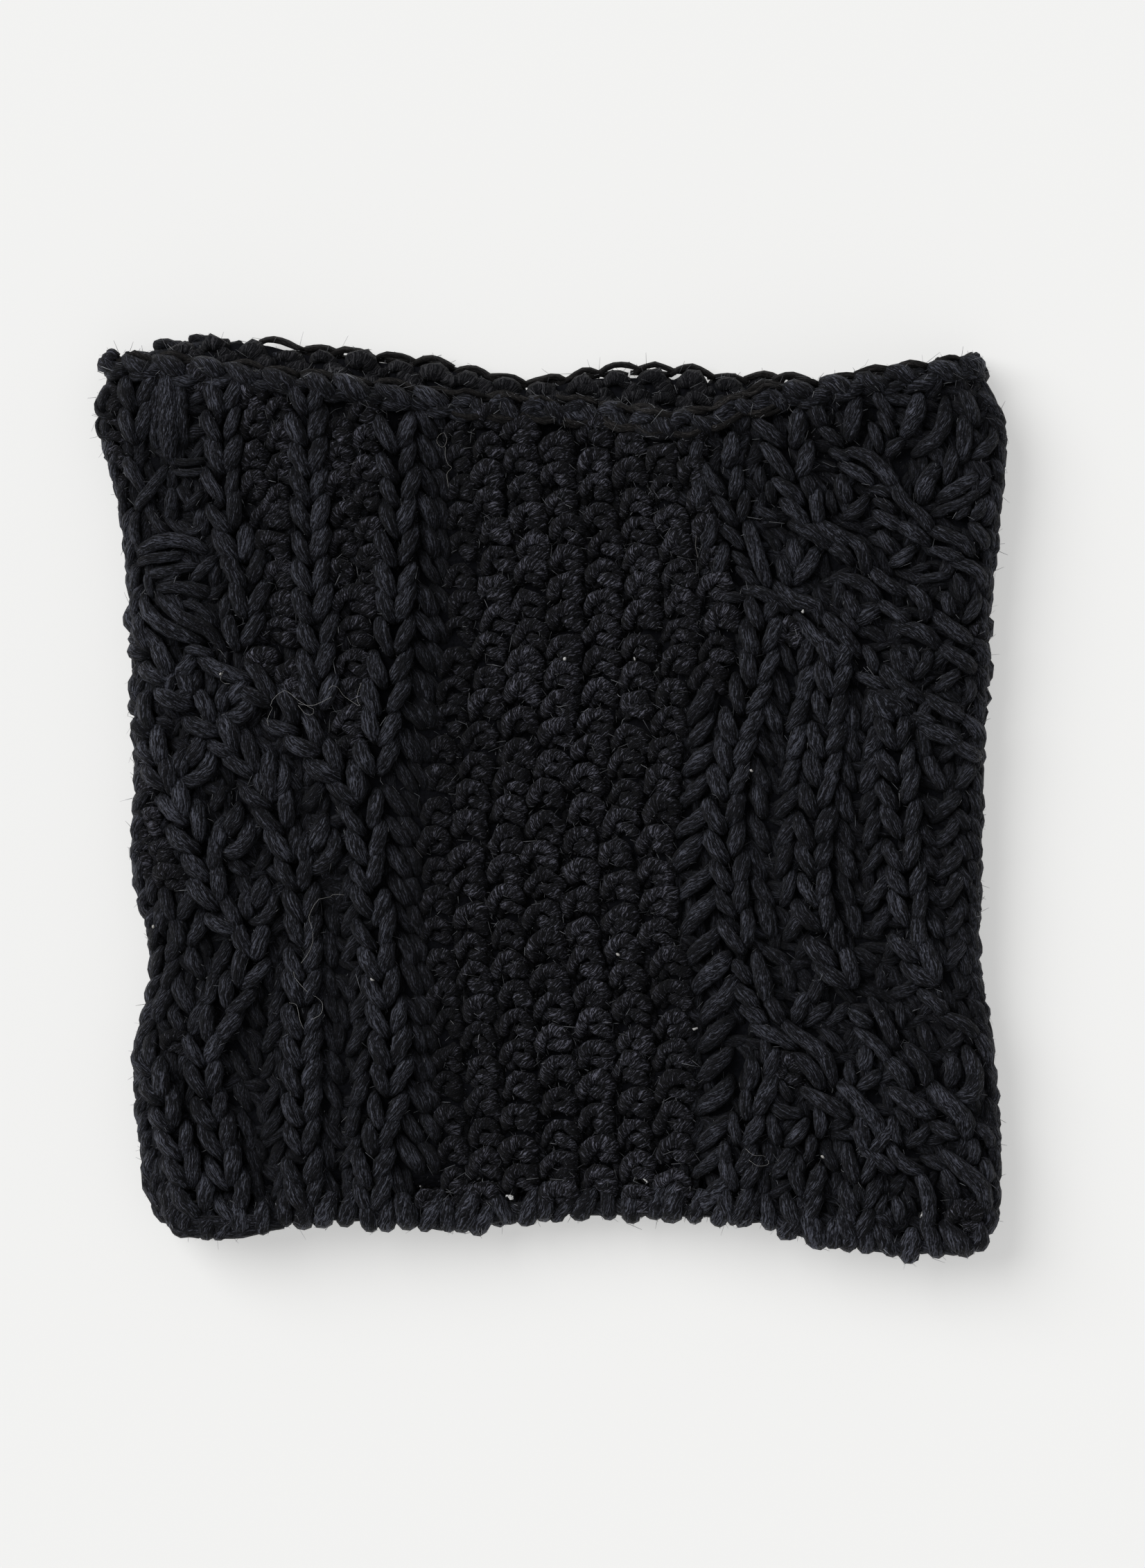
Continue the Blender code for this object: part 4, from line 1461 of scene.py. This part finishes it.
@dataclass(frozen=True)
class EdgeKnit:
    """The bound-off chain at the neck and the knobbly cast-on at the hem.

    The uneven values are those of a strand's place along the edge, height, thickness and rise.
    """

    tube: TubeForm
    pitch: float = 11.8 * MM
    knob_pitch: tuple[float, float] = (5.0 * MM, 8.6 * MM)
    knob_radius: float = 2.9 * MM
    knob_room: float = 2 * MM
    knob_reach: tuple[float, float] = (0.75, 1.15)
    knob_lift: float = 0.9
    knob_uneven: tuple[float, ...] = (0.6, 0.6, 0.15)
    end: float = 0.006
    stagger: float = 0.09
    waver: float = 0.25 * MM
    uneven: tuple[float, ...] = (0.08, 0.5, 0.1, 0.25)

    def along(self, layer: Layer, up: int, x: Array, ends: tuple[float, float]) -> Array:
        """Read the height of an edge.

        Args:
            layer: front or back.
            up: 1 for the neck edge, 0 for the hem.
            x: chart places across.
            ends: places of the two seams.

        Returns:
            The edge's height at each place.
        """
        across = np.clip((x - ends[0] - self.end) / (ends[1] - ends[0] - 2 * self.end), 0.0, 1.0)
        return (self.tube.neck if up else self.tube.hem)(layer, across)

    def chain(
        self, batch: StrandBatch, layer: Layer, shapes: tuple, within: tuple[float, float], rng: Random,
        up: int = 1, inner: bool = False, shift: float = 0.0,
    ) -> None:
        """Hang strands from an edge, the same ones again for each stitch.

        Args:
            batch: takes the strands.
            layer: front or back.
            shapes: the strands of one stitch.
            within: the stretch of the edge that has them, in metres across.
            rng: source of the unevenness.
            up: 1 for the neck edge, 0 for the hem.
            inner: whether they lie on the inside of the tube.
            shift: drop below the edge, in millimetres.
        """
        left, right = self.tube.seams(up)
        count = int((right - left) / self.pitch)
        pitch = (right - left) / count
        for link in range(count):
            if not within[0] < left + pitch * (link + 0.5) < within[1]:
                continue
            for shape in shapes:
                table = np.array(shape)
                wobble = rng.normal(0, 1, 4) * self.uneven
                x = left + pitch * (link + table[:, 0] + wobble[0] + self.stagger * shift % 1.0)
                y = self.along(layer, up, x, (left, right)) + (table[:, 1] - shift + wobble[1]) * MM
                y += rng.normal(0, self.waver, len(table))
                rise = table[:, 2] + wobble[3]
                high = -self.tube.wall - rise * MM if inner else rise * MM
                batch.add(layer, np.column_stack((x, y, high, table[:, 3] * MM * (1 + wobble[2]))))

    def cast_on(self, batch: StrandBatch, layer: Layer, rng: Random) -> None:
        """Add the knobs: short strands that go over the hem from the face to the inside.

        Args:
            batch: takes the strands.
            layer: front or back.
            rng: source of the unevenness.
        """
        left, right = self.tube.seams(0)
        middle = left + self.knob_room
        while middle < right - self.knob_room:
            table = np.array(KNOB)
            wobble = rng.normal(0, 1, 4)
            table[:, 1] *= rng.uniform(*self.knob_reach)
            sway, lift, thick = self.knob_uneven
            x = middle + table[:, 0] * self.pitch * sway * wobble[0]
            above = (table[:, 1] + self.knob_lift + lift * wobble[1]) * MM
            y = self.along(layer, 0, x, (left, right)) + above
            radius = self.knob_radius * (1 + thick * wobble[2]) * table[:, 3]
            batch.add(layer, np.column_stack((x, y, table[:, 2] * MM, radius)))
            middle += rng.uniform(*self.knob_pitch)

    def build(self, wool: Material, inner_wool: Material, cord_wool: Material, seed: int) -> list[Piece]:
        """Finish the neck and the hem.

        Args:
            wool: material of the thick strands.
            inner_wool: a darker wool, painted shade, for the inside of the tube and the back's neck stitches.
            cord_wool: material of the thin brownish ones.
            seed: seed of the unevenness.

        Returns:
            The pieces.
        """
        rng = np.random.default_rng(seed)
        tube = self.tube
        blobs = StrandBatch(StrandForm(7, 8), tube, twist=0.8)
        cords = StrandBatch(StrandForm(7, 5), tube, flat=1.0)
        knobs = StrandBatch(StrandForm(10, 9), tube, wraps=True)
        # The shaded strands take the darker inner wool: painted shade inside the tube and on the back's neck
        # edge.
        shaded = StrandBatch(StrandForm(6, 7), tube, across=True, uneven=0.12)
        for batch, layer, shapes, within, shift in (
            (blobs, Layer.FRONT, ROLL, LEFT_END, 0.0),
            (blobs, Layer.FRONT, CHAIN_STITCH, MIDDLE, 0.0),
            (blobs, Layer.FRONT, ROLL, RIGHT_END, 0.0),
            (cords, Layer.FRONT, CORDS[:1], WHOLE, 0.0),
            (cords, Layer.FRONT, CORDS[1:], MIDDLE, 0.0),
            (blobs, Layer.BACK, ROLL, BACK_LEFT, 0.0),
            (shaded, Layer.BACK, CHAIN_STITCH[:2], BACK_MIDDLE, 2.4),
            (shaded, Layer.BACK, CHAIN_STITCH[:2], BACK_RIGHT, 0.0),
            (cords, Layer.BACK, ARCS, (-0.088, 0.052), 0.0),
            (cords, Layer.BACK, CORDS[:1], BACK_RIGHT, 0.0),
        ):
            self.chain(batch, layer, shapes, within, rng, shift=shift)
        for layer in Layer:
            for shift in (2.2, 7.2, 12.2, 17.2, 22.2, 27.2):
                self.chain(shaded, layer, INNER_KNOTS, WHOLE, rng, inner=True, shift=shift)
            for inner in (False, True):
                self.chain(blobs, layer, HEM_BAND, WHOLE, rng, 0, inner)
            self.cast_on(knobs, layer, rng)
        return [
            joined_piece("bound_off_stitches", [blobs], wool, seed + 1),
            joined_piece("inner_face", [shaded], inner_wool, seed + 4),
            joined_piece("bound_off_chain", [cords], cord_wool, seed + 2),
            joined_piece("cast_on_knobs", [knobs], wool, seed + 3),
        ]


# The strands of the folds: share of their length, way in from the seam, rise, and share of the radius.
FOLD_OUTSIDE = (
    (0, 6.2, -3.6, 0.62), (0.2, 3.8, -1.8, 0.96), (0.5, 1.5, -1.7, 1.1), (0.8, 0.4, -2.4, 1),
    (1, 1.1, -4, 0.65),
)
FOLD_DEEP = (
    (-0.05, 1.2, -4.4, 0.9), (0.25, 0.5, -3.9, 1), (0.5, 0.2, -3.8, 1), (0.75, 0.6, -3.9, 1),
    (1.05, 1.2, -4.4, 0.9),
)
FOLD_FACE = (
    (0, 1.6, -3.6, 0.6), (0.2, 3, -1.9, 0.95), (0.5, 5, -1.2, 1.1), (0.8, 6.6, -1.7, 0.98),
    (1, 7.4, -3.6, 0.6),
)
# The felted roll at the left end of the hem: places across, up and rise of each strand, then its radius.
FELTED_HEM = (
    (-126.6, -127, -3.4, -125, -131, -2.2, -124.2, -135.5, -2, -124, -139.6, -3.4, 3),
    (-126, -138, -4.2, -122, -140.2, -3, -115, -140.6, -2.6, -108, -140, -3, -103, -140.8, -4.4, 2.5),
    (-112, -140.8, -4.4, -105, -141, -2.8, -98, -140.2, -2.6, -91, -138.6, -3, -86, -138.4, -4.4, 2.3),
    (-122, -137.6, -2.4, -114, -137, -1.2, -105, -137.4, -0.9, -96, -137, -1.4, -89, -137.4, -3, 1.9),
)
# The felted bundle at the top of the left fold: across, top, foot, radius and rise.
BUNDLE = ((-127.0, 134, 109, 3.0, -1.6), (-123.2, 135, 106, 3.6, -0.7), (-119.4, 133, 111, 2.8, -1.5))
# A slack loop that stands off the left fold: way in from the seam, up and rise.
SLACK = ((4.5, 1.0, -1.5), (3.4, -2.0, 0.6), (4.6, -5.0, 1.0), (7.4, -7.0, 0.8), (11.0, -7.4, -1.6))
# The knots at the corners of the neck: their shape, then the layer, across, up and radius of each.
KNOT = ((-2.5, -1.5, -3, 0.6), (0, 0, -1.2, 1), (2.5, -1, -3, 0.6))
CORNERS = (
    (Layer.FRONT, -146.2, 139.5, 2.3), (Layer.FRONT, -144.0, 141.0, 2.0), (Layer.BACK, -146.0, 141.0, 2.0),
    (Layer.FRONT, 138.5, 139.5, 2.2), (Layer.BACK, 140.0, 140.2, 2.2),
)
# The strands that close the right fold from beneath: the foot, way in and rise of each, and their shape.
BENEATH = ((62.0, 2.2, -2.6), (69.0, 4.6, -2.0))
BENEATH_SHAPE = ((0.0, 1.4), (6.0, 2.2), (12.0, 2.3), (18.0, 1.5))


@dataclass(frozen=True)
class Folds:
    """The strands that run along the two folds, and the left one's own felted bundle and slack loops."""

    tube: TubeForm
    foot: float = 0.1395
    height: float = 0.2819
    top: float = 124.0
    bundle_knots: int = 6
    length: tuple[float, float] = (9.0, 14.0)
    lap: tuple[float, float] = (0.5, 0.75)
    sway: float = 0.35
    lift: float = 0.3

    def build(self, wool: Material, seed: int) -> Piece:
        """Lay the strands.

        Args:
            wool: the material.
            seed: seed of the unevenness.

        Returns:
            The piece.
        """
        rng = np.random.default_rng(seed)
        batch, beneath = (StrandBatch(StrandForm(10, 8), self.tube, flat=0.8, twist=0.15) for _ in range(2))
        for x, top, foot, radius, rise in BUNDLE:
            steps = np.linspace(0, 1, self.bundle_knots)
            bulge = np.sin(math.pi * steps)
            sway = np.cumsum(rng.normal(0, self.sway, self.bundle_knots))
            high, thick = rise - 3.0 * (1 - bulge) ** 2, radius * (0.6 + 0.4 * bulge)
            batch.add(Layer.FRONT, np.column_stack((x + sway, top + (foot - top) * steps, high, thick)) * MM)
        for y in (128.0, 121.0):
            rows = [(self.seam(y) + out, y + above, rise, 0.8) for out, above, rise in SLACK]
            batch.add(Layer.FRONT, np.array(rows) * MM)
        runs = ((-136.0, FOLD_OUTSIDE, 2.4), (-132.0, FOLD_DEEP, 2.7), (-133.0, FOLD_FACE, 2.1))
        for side in (-1, 1):
            for y, shape, thick in runs:
                self.run(batch, side, y, shape, thick, rng)
        for *line, radius in FELTED_HEM:
            places = np.array(line, float).reshape(-1, 3)
            bulge = np.interp(np.linspace(0, 1, len(places)), (0, 0.2, 0.8, 1), (0.6, 1, 1, 0.6))
            batch.add(Layer.FRONT, np.column_stack((places, radius * bulge)) * MM)
        for layer, x, y, radius in CORNERS:
            rows = [(x + across, y + above, rise, radius * part) for across, above, rise, part in KNOT]
            batch.add(layer, np.array(rows) * MM)
        for low, inset, rise in BENEATH:
            rows = [
                (self.seam(low + along, 1) - inset, low + along, rise, radius)
                for along, radius in BENEATH_SHAPE
            ]
            beneath.add(Layer.BACK, np.array(rows) * MM)
        return joined_piece("fold_strands", [batch, beneath], wool, seed + 1)

    def run(self, batch: StrandBatch, side: int, y: float, shape: tuple, thick: float, rng: Random) -> None:
        """Lay strands one after the other up a fold.

        Args:
            batch: takes the strands.
            side: -1 for the left fold, 1 for the right one.
            y: where the first one starts.
            shape: the shape of a strand.
            thick: its radius.
            rng: source of the unevenness.
        """
        while y < self.top:
            length = rng.uniform(*self.length)
            rows = [
                (self.seam(y + length * along, side) - side * (inset + self.sway * rng.normal()),
                 y + length * along, rise + self.lift * rng.normal(), thick * part)
                for along, inset, rise, part in shape
            ]
            batch.add(Layer.FRONT, np.array(rows) * MM)
            y += length * rng.uniform(*self.lap)

    def seam(self, y: float, side: int = -1) -> float:
        """Find the chart place of a seam, in millimetres.

        Args:
            y: height in millimetres.
            side: -1 for the left seam, 1 for the right one.

        Returns:
            Its place across.
        """
        up = np.array((y * MM + self.foot) / self.height)
        line = self.tube.left if side < 0 else self.tube.right
        return (float(line.read(up)) - side * self.tube.side * (1 - QUARTER)) / MM


# ---- loose fibres --------------------------------------------------------------------------------------


# The stray curls' places, and the specks': across, up and size.
STRAY_CURLS = (
    (
        (-90.7, 21.5), (-91.3, 23.9), (-89.5, 26.9), (-90.1, 28), (-88.9, 30.4), (-85.9, 32.8), (-83.5, 31.6),
        (-80, 28.6), (-76.4, 26.9), (-76.7, 25.1), (-78.8, 25.1), (-81.2, 28),
    ),
    ((-81.2, 28.6), (-77, 27.9), (-73.4, 29.2), (-70.5, 30.7)),
    (
        (-71.3, 33.1), (-70.5, 34.1), (-68.7, 33.9), (-66.9, 31.3), (-64.5, 29.5), (-61.4, 27.7),
        (-62.6, 30.4), (-61.1, 35.1),
    ),
    (
        (-66.6, -32.8), (-69.9, -32.6), (-71.6, -33.6), (-74.6, -34.1), (-76.7, -37.1), (-77.9, -40.1),
        (-77, -42.4), (-76.4, -46.6), (-77.6, -50.8), (-80.3, -54.6),
    ),
    (
        (-82.6, -57.3), (-82.1, -59.4), (-78.5, -63.5), (-74.9, -65.9), (-73.5, -68), (-74.1, -71),
        (-77, -72.6),
    ),
    ((-84.1, -67.3), (-81.8, -68.1), (-80.6, -72.8), (-79.4, -75.7)),
    (
        (-34.3, 116), (-36, 115.2), (-37.1, 113.3), (-36, 111.4), (-34.6, 111.4), (-33.8, 113.6),
        (-34.6, 115.7),
    ),
    ((-34.3, 111.2), (-34.3, 108.3), (-33.5, 105.8), (-32.3, 104.5), (-33.8, 102.5), (-33.2, 98.1)),
    ((-105.1, 38.9), (-106, 36.4), (-104.9, 35.1), (-103.2, 34.9)), ((46.3, 83), (46, 79.2), (46.8, 75.4)),
    ((62, -114), (64.5, -116), (68, -116.5), (69.5, -119), (66, -119.5), (63, -117.5)),
)
LINT_SPECKS = (
    (80.4, 58.1, 0.5), (4.1, 43, 0.5), (26.5, 43, 0.5), (21.2, -52, 0.6), (45.6, -75.8, 1),
    (-57.5, -59.8, 0.6), (63.9, 7.1, 0.5), (86.8, -116.8, 0.6), (-106, 38, 0.4), (-128, -43, 0.5),
)


@dataclass(frozen=True)
class Surface:
    """Where the tops of the strands are, for what lies on them."""

    points: Array
    normals: Array

    @classmethod
    def of(cls, pieces: list[Piece]) -> "Surface":
        """Read the vertices and normals of pieces.

        Args:
            pieces: the pieces.

        Returns:
            Their surface.
        """
        columns = []
        for piece in pieces:
            mesh = piece.data
            points, normals = (np.empty(len(mesh.vertices) * 3, np.float32) for _ in range(2))
            mesh.vertices.foreach_get("co", points)
            mesh.vertex_normals.foreach_get("vector", normals)
            columns.append(np.stack((points, normals)).reshape(2, -1, 3))
        both = np.concatenate(columns, 1).astype(float)
        return cls(both[0], both[1])

    def top(self, x: float, y: float, reach: float = 1.6 * MM) -> float:
        """The highest point of the knitting near a place."""
        near = np.hypot(self.points[:, 0] - x, self.points[:, 1] - y) < reach
        return float(self.points[near, 2].max()) if near.any() else 0.0


@dataclass(frozen=True)
class LooseFibres:
    """Fibre ends that stand off the strands, and the lint that lies on the knitting."""

    length: float = 3.0 * MM
    radius: float = 0.075 * MM
    lift: float = 0.30
    bow: float = 0.4
    reach: tuple[float, float] = (0.4, 1.8)
    thick: tuple[float, float] = (0.7, 1.5)
    curl_radius: float = 0.033 * MM
    curl_gap: float = 0.2 * MM

    def fuzz(self, surface: Surface, count: int, lowest: float, rng: Random) -> list[StrandBatch]:
        """Grow short fibres from the strands.

        Args:
            surface: what they grow from.
            count: how many.
            lowest: the most that a root may face down, as the normal's Z.
            rng: source of where and how they grow.

        Returns:
            The bent fibres and the straight ones.
        """
        batches = [StrandBatch(StrandForm(rings, 3), uneven=0.0) for rings in (3, 2, 2)]
        pick = rng.choice(np.flatnonzero(surface.normals[:, 2] > lowest), count)
        root, out = surface.points[pick], surface.normals[pick]
        way = rng.normal(size=(count, 3))
        way -= out * np.sum(way * out, 1, keepdims=True)
        way /= np.linalg.norm(way, axis=1, keepdims=True)
        bow = np.cross(out, way) * rng.normal(0, self.bow, (count, 1))
        reach = self.length * rng.uniform(*self.reach, (count, 1))
        lift = np.abs(rng.normal(0, self.lift, (count, 1)))
        thick = self.radius * rng.uniform(*self.thick, count)
        knots = np.stack([
            np.column_stack((root + reach * (way * share + out * lift * high + bow * bend), thick * radius))
            for share, high, bend, radius in ((0, -0.2, 0, 1.1), (0.5, 1.2, 0.2, 1.0), (1, 0.8, 1, 0.5))
        ], 1)
        for number, rows in enumerate(knots):
            batches[number % 3].add(Layer.FRONT, rows)
        return batches

    def lint(self, surface: Surface, rng: Random) -> list[StrandBatch]:
        """Lay the stray curls and the specks on the strands.

        Args:
            surface: what they lie on.
            rng: source of the specks' directions.

        Returns:
            The batches.
        """
        curls, specks = StrandBatch(StrandForm(16, 4), uneven=0.0), StrandBatch(StrandForm(4, 5), uneven=0.2)
        for curl in STRAY_CURLS:
            curls.add(Layer.FRONT, [
                (x, y, surface.top(x, y) + self.curl_gap, self.curl_radius)
                for x, y in np.array(curl) * MM
            ])
        for x, y, size in LINT_SPECKS:
            x, y, size = x * MM, y * MM, size * MM
            turn, top = rng.uniform(0, math.tau), surface.top(x, y)
            rows = [
                (x + step * size * math.cos(turn), y + step * size * math.sin(turn), top, size * thick)
                for step, thick in ((-1.2, 0.3), (-0.4, 0.8), (0.4, 0.9), (1.2, 0.3))
            ]
            specks.add(Layer.FRONT, rows)
        return [curls, specks]


# ---- the pieces ----------------------------------------------------------------------------------------


@dataclass
class Panel:
    """All the stitches of one layer's outer face."""

    tube: TubeForm
    layer: Layer
    wool: Material
    # The purl's wool is brighter and darker than the rest: painted highlights and painted shade on the bumps.
    purl_wool: Material
    seed: int
    twists: tuple[float, ...] = (0.25, 0.35, 0.6)
    purl_uneven: float = 0.14
    purl_flat: float = 0.84
    top_level: float = -1.4 * MM
    middle_level: float = -2.2 * MM

    def build(self) -> list[Piece]:
        """Knit the panel.

        Returns:
            The pieces.
        """
        own = (self.tube, self.layer, np.random.default_rng(self.seed))
        stitch, ground = RibStitch(*own), Ground(*own)
        front = self.layer is Layer.FRONT
        form = StrandForm(9, 8) if front else StrandForm(6, 6)
        ribs, fill, purl = (StrandBatch(form, self.tube, twist=twist) for twist in self.twists)
        under = StrandBatch(StrandForm(6, 6), self.tube)
        purl.across, purl.uneven, purl.flat = True, self.purl_uneven, self.purl_flat
        lines = tuple(
            replace(line, points=tuple((stitch.side * x, y) for x, y in line.points)) for line in FRONT_RIBS
        )
        for line in lines:
            stitch.knit(ribs, line)
        batches = {kind: purl if kind is Fill.PURL else fill for kind in Fill}
        ground.knit(batches, lines, stitch.half_width)
        ground.loops(fill)
        if front:
            ground.under(under)
        ground.charted(ribs, TOP_STRANDS, self.top_level)
        ground.charted(fill, MIDDLE_STRANDS, self.middle_level)
        PurlPanel(*own).knit(purl, fill, ground)
        name = self.layer.value
        return [
            joined_piece(f"{name}_ribs", [ribs], self.wool, self.seed + 1),
            joined_piece(f"{name}_ground", [fill, under], self.wool, self.seed + 2),
            joined_piece(f"{name}_purl", [purl], self.purl_wool, self.seed + 3),
        ]


@dataclass
class BaseCloth:
    """The ground of the tube, under the stitches: one closed wall all round."""

    tube: TubeForm
    outer: float = -5.2 * MM
    inner: float = -7.4 * MM
    across: int = 48
    up: int = 32
    neck_inset: float = 5.0 * MM
    hem_inset: float = 15.0 * MM
    round_fold: tuple[float, ...] = (0.33, 0.66, 0.98)

    def build(self, wool: Material) -> Piece:
        """Make the wall from rings that are bridged.

        Args:
            wool: the material.

        Returns:
            The cloth.
        """
        builder = bmesh.new()
        heights = [(self.outer, step / self.up) for step in range(self.up + 1)]
        heights += [(self.inner, 1 - step / self.up) for step in range(self.up + 1)]
        rings = [self.ring(builder, rise, up) for rise, up in heights]
        for one, two in zip(rings, rings[1:] + rings[:1]):
            bmesh.ops.bridge_loops(builder, edges=one + two)
        bmesh.ops.recalc_face_normals(builder, faces=builder.faces)
        mesh = bpy.data.meshes.new("base_cloth")
        builder.to_mesh(mesh)
        builder.free()
        mesh.shade_smooth()
        return dressed(mesh, wool)

    def ring(self, builder: bmesh.types.BMesh, rise: float, up: float) -> list[bmesh.types.BMEdge]:
        """Make one ring of edges round the tube.

        Args:
            builder: takes the edges.
            rise: the ring's rise above the outer face.
            up: share of the cloth's height.

        Returns:
            The edges.
        """
        quarter = QUARTER * self.tube.side
        points = []
        for layer, way in ((Layer.FRONT, 1), (Layer.BACK, -1)):
            shares = np.linspace(0.0, 1.0, self.across)[::way]
            hem, neck = self.tube.hem(layer, shares), self.tube.neck(layer, shares)
            y = hem + self.hem_inset + (neck - hem - self.neck_inset - self.hem_inset) * up
            left, right = self.tube.flat((y - hem) / (neck - hem))
            flat = np.stack((left + (right - left) * shares, y, np.full_like(y, rise)), -1)
            start = [flat[0] - (way * quarter * share, 0, 0) for share in self.round_fold[::-1]]
            end = [flat[-1] + (way * quarter * share, 0, 0) for share in self.round_fold]
            points.append(self.tube.place(layer, np.array([*start, *flat, *end])))
        verts = [builder.verts.new(point) for point in np.concatenate(points)]
        return [builder.edges.new((one, two)) for one, two in zip(verts, verts[1:] + verts[:1])]


# ---- studio --------------------------------------------------------------------------------------------


@dataclass
class Studio:
    """A pale light table, soft light from the upper left, and a camera straight above."""

    view_height: float = 0.509
    view_centre: tuple[float, float] = (0.0066, 0.0028)
    distance: float = 1.7
    sensor: float = 36.0
    key_strength: float = 1.50
    key_spread: float = 0.8
    key_place: tuple[float, float, float] = (-1.2, 0.8, 1.2)
    surround: float = 0.22
    table_size: float = 6.0
    table_colour: Colour = (0.86, 0.86, 0.85)
    table_roughness: float = 0.9
    glow_colour: Colour = (1.0, 1.0, 0.99)
    table_glow: float = 0.44

    def build(self) -> None:
        """Set up the floor, the light and the camera."""
        self.floor()
        self.lights()
        self.camera()

    def floor(self) -> None:
        """A plain pale table top, lit a little from below as well."""
        builder = bmesh.new()
        bmesh.ops.create_grid(builder, x_segments=1, y_segments=1, size=self.table_size)
        mesh = bpy.data.meshes.new("table")
        builder.to_mesh(mesh)
        builder.free()
        material = bpy.data.materials.new("table_white")
        material.use_nodes = True
        shader = material.node_tree.nodes["Principled BSDF"]
        for key, value in (
            ("Base Color", (*self.table_colour, 1.0)), ("Roughness", self.table_roughness),
            ("Emission Color", (*self.glow_colour, 1.0)), ("Emission Strength", self.table_glow),
        ):
            shader.inputs[key].default_value = value
        dressed(mesh, material)

    def lights(self) -> None:
        """A very broad key light from the upper left and an even pale surround."""
        world = bpy.data.worlds.new("surround")
        world.use_nodes = True
        ground = world.node_tree.nodes["Background"]
        ground.inputs["Color"].default_value = (1.0, 1.0, 1.0, 1.0)
        ground.inputs["Strength"].default_value = self.surround
        bpy.context.scene.world = world
        light = bpy.data.lights.new("key", "SUN")
        light.energy = self.key_strength
        light.angle = self.key_spread
        lamp = bpy.data.objects.new("key", light)
        lamp.location = self.key_place
        lamp.rotation_euler = (-lamp.location).to_track_quat("-Z", "Y").to_euler()
        bpy.context.scene.collection.objects.link(lamp)

    def camera(self) -> None:
        """A long lens straight above the middle of the view."""
        data = bpy.data.cameras.new("camera")
        data.sensor_width = self.sensor
        data.lens = data.sensor_width * self.distance / self.view_height
        camera = bpy.data.objects.new("camera", data)
        camera.location = (*self.view_centre, self.distance)
        bpy.context.scene.collection.objects.link(camera)
        bpy.context.scene.camera = camera
        bpy.context.scene.view_settings.view_transform = "Standard"


FRONT_SEED, BACK_SEED, FOLD_SEED, EDGE_SEED, FIBRE_SEED = 10, 20, 30, 40, 50


def main() -> None:
    """Build every piece in order."""
    logging.basicConfig(level=logging.INFO, format="%(message)s")
    tube = TubeForm()
    Studio().build()
    wool = WoolFinish().make()
    # The purl wool: a brighter light and a darker dark, painted highlights on the bumps and painted shade
    # between.
    purl_wool = WoolFinish("purl_wool", (0.0050, 0.0052, 0.0067), (0.1860, 0.1880, 0.2400), cut=5.04).make()
    edge_wool = WoolFinish("edge_wool", (0.0085, 0.0078, 0.0080), (0.122, 0.112, 0.110)).make()
    # The base cloth's dark wool is painted shade in the depths under the stitches.
    cloth = BaseCloth(tube).build(PaintedShadeWoolFinish().make())
    front = Panel(tube, Layer.FRONT, wool, purl_wool, FRONT_SEED).build()
    front.append(Folds(tube).build(wool, FOLD_SEED))
    back = Panel(tube, Layer.BACK, wool, purl_wool, BACK_SEED).build()
    pieces = front + back
    # The inner wool is the knit wool with a darker light colour: painted shade inside the tube.
    inner_wool = WoolFinish("inner_wool", light=(0.062, 0.062, 0.070)).make()
    edge_pieces = EdgeKnit(tube).build(wool, inner_wool, edge_wool, EDGE_SEED)
    rng = np.random.default_rng(FIBRE_SEED)
    fibres = LooseFibres()
    fuzz_finish = Finish("loose_fibre", (0.020, 0.021, 0.026), (0.38, 0.39, 0.42)).make()
    lint_finish = Finish("lint", (0.55, 0.53, 0.50), (0.90, 0.90, 0.90)).make()
    for name, sources, count, lowest in (
        ("rib_fuzz", front[:2] + front[3:], 10500, 0.0),
        ("panel_fuzz", front[2:3], 12500, 0.0),
        ("edge_fuzz", edge_pieces, 6500, -0.8),
        ("back_fuzz", back, 2500, -1.0),
    ):
        fuzz = fibres.fuzz(Surface.of(sources), count, lowest, rng)
        pieces.append(joined_piece(name, fuzz, fuzz_finish, FIBRE_SEED + 1))
    pieces.append(joined_piece("lint", fibres.lint(Surface.of(front), rng), lint_finish, FIBRE_SEED + 2))
    for piece in (cloth, *pieces, *edge_pieces):
        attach(piece, "root")
        "edge_wool" if piece in edge_pieces else "knit_wool"
    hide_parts("front_panel", "back_panel", "bound_off_edge", "cast_on_edge")
    pieces + edge_pieces


if __name__ == "__main__":
    main()
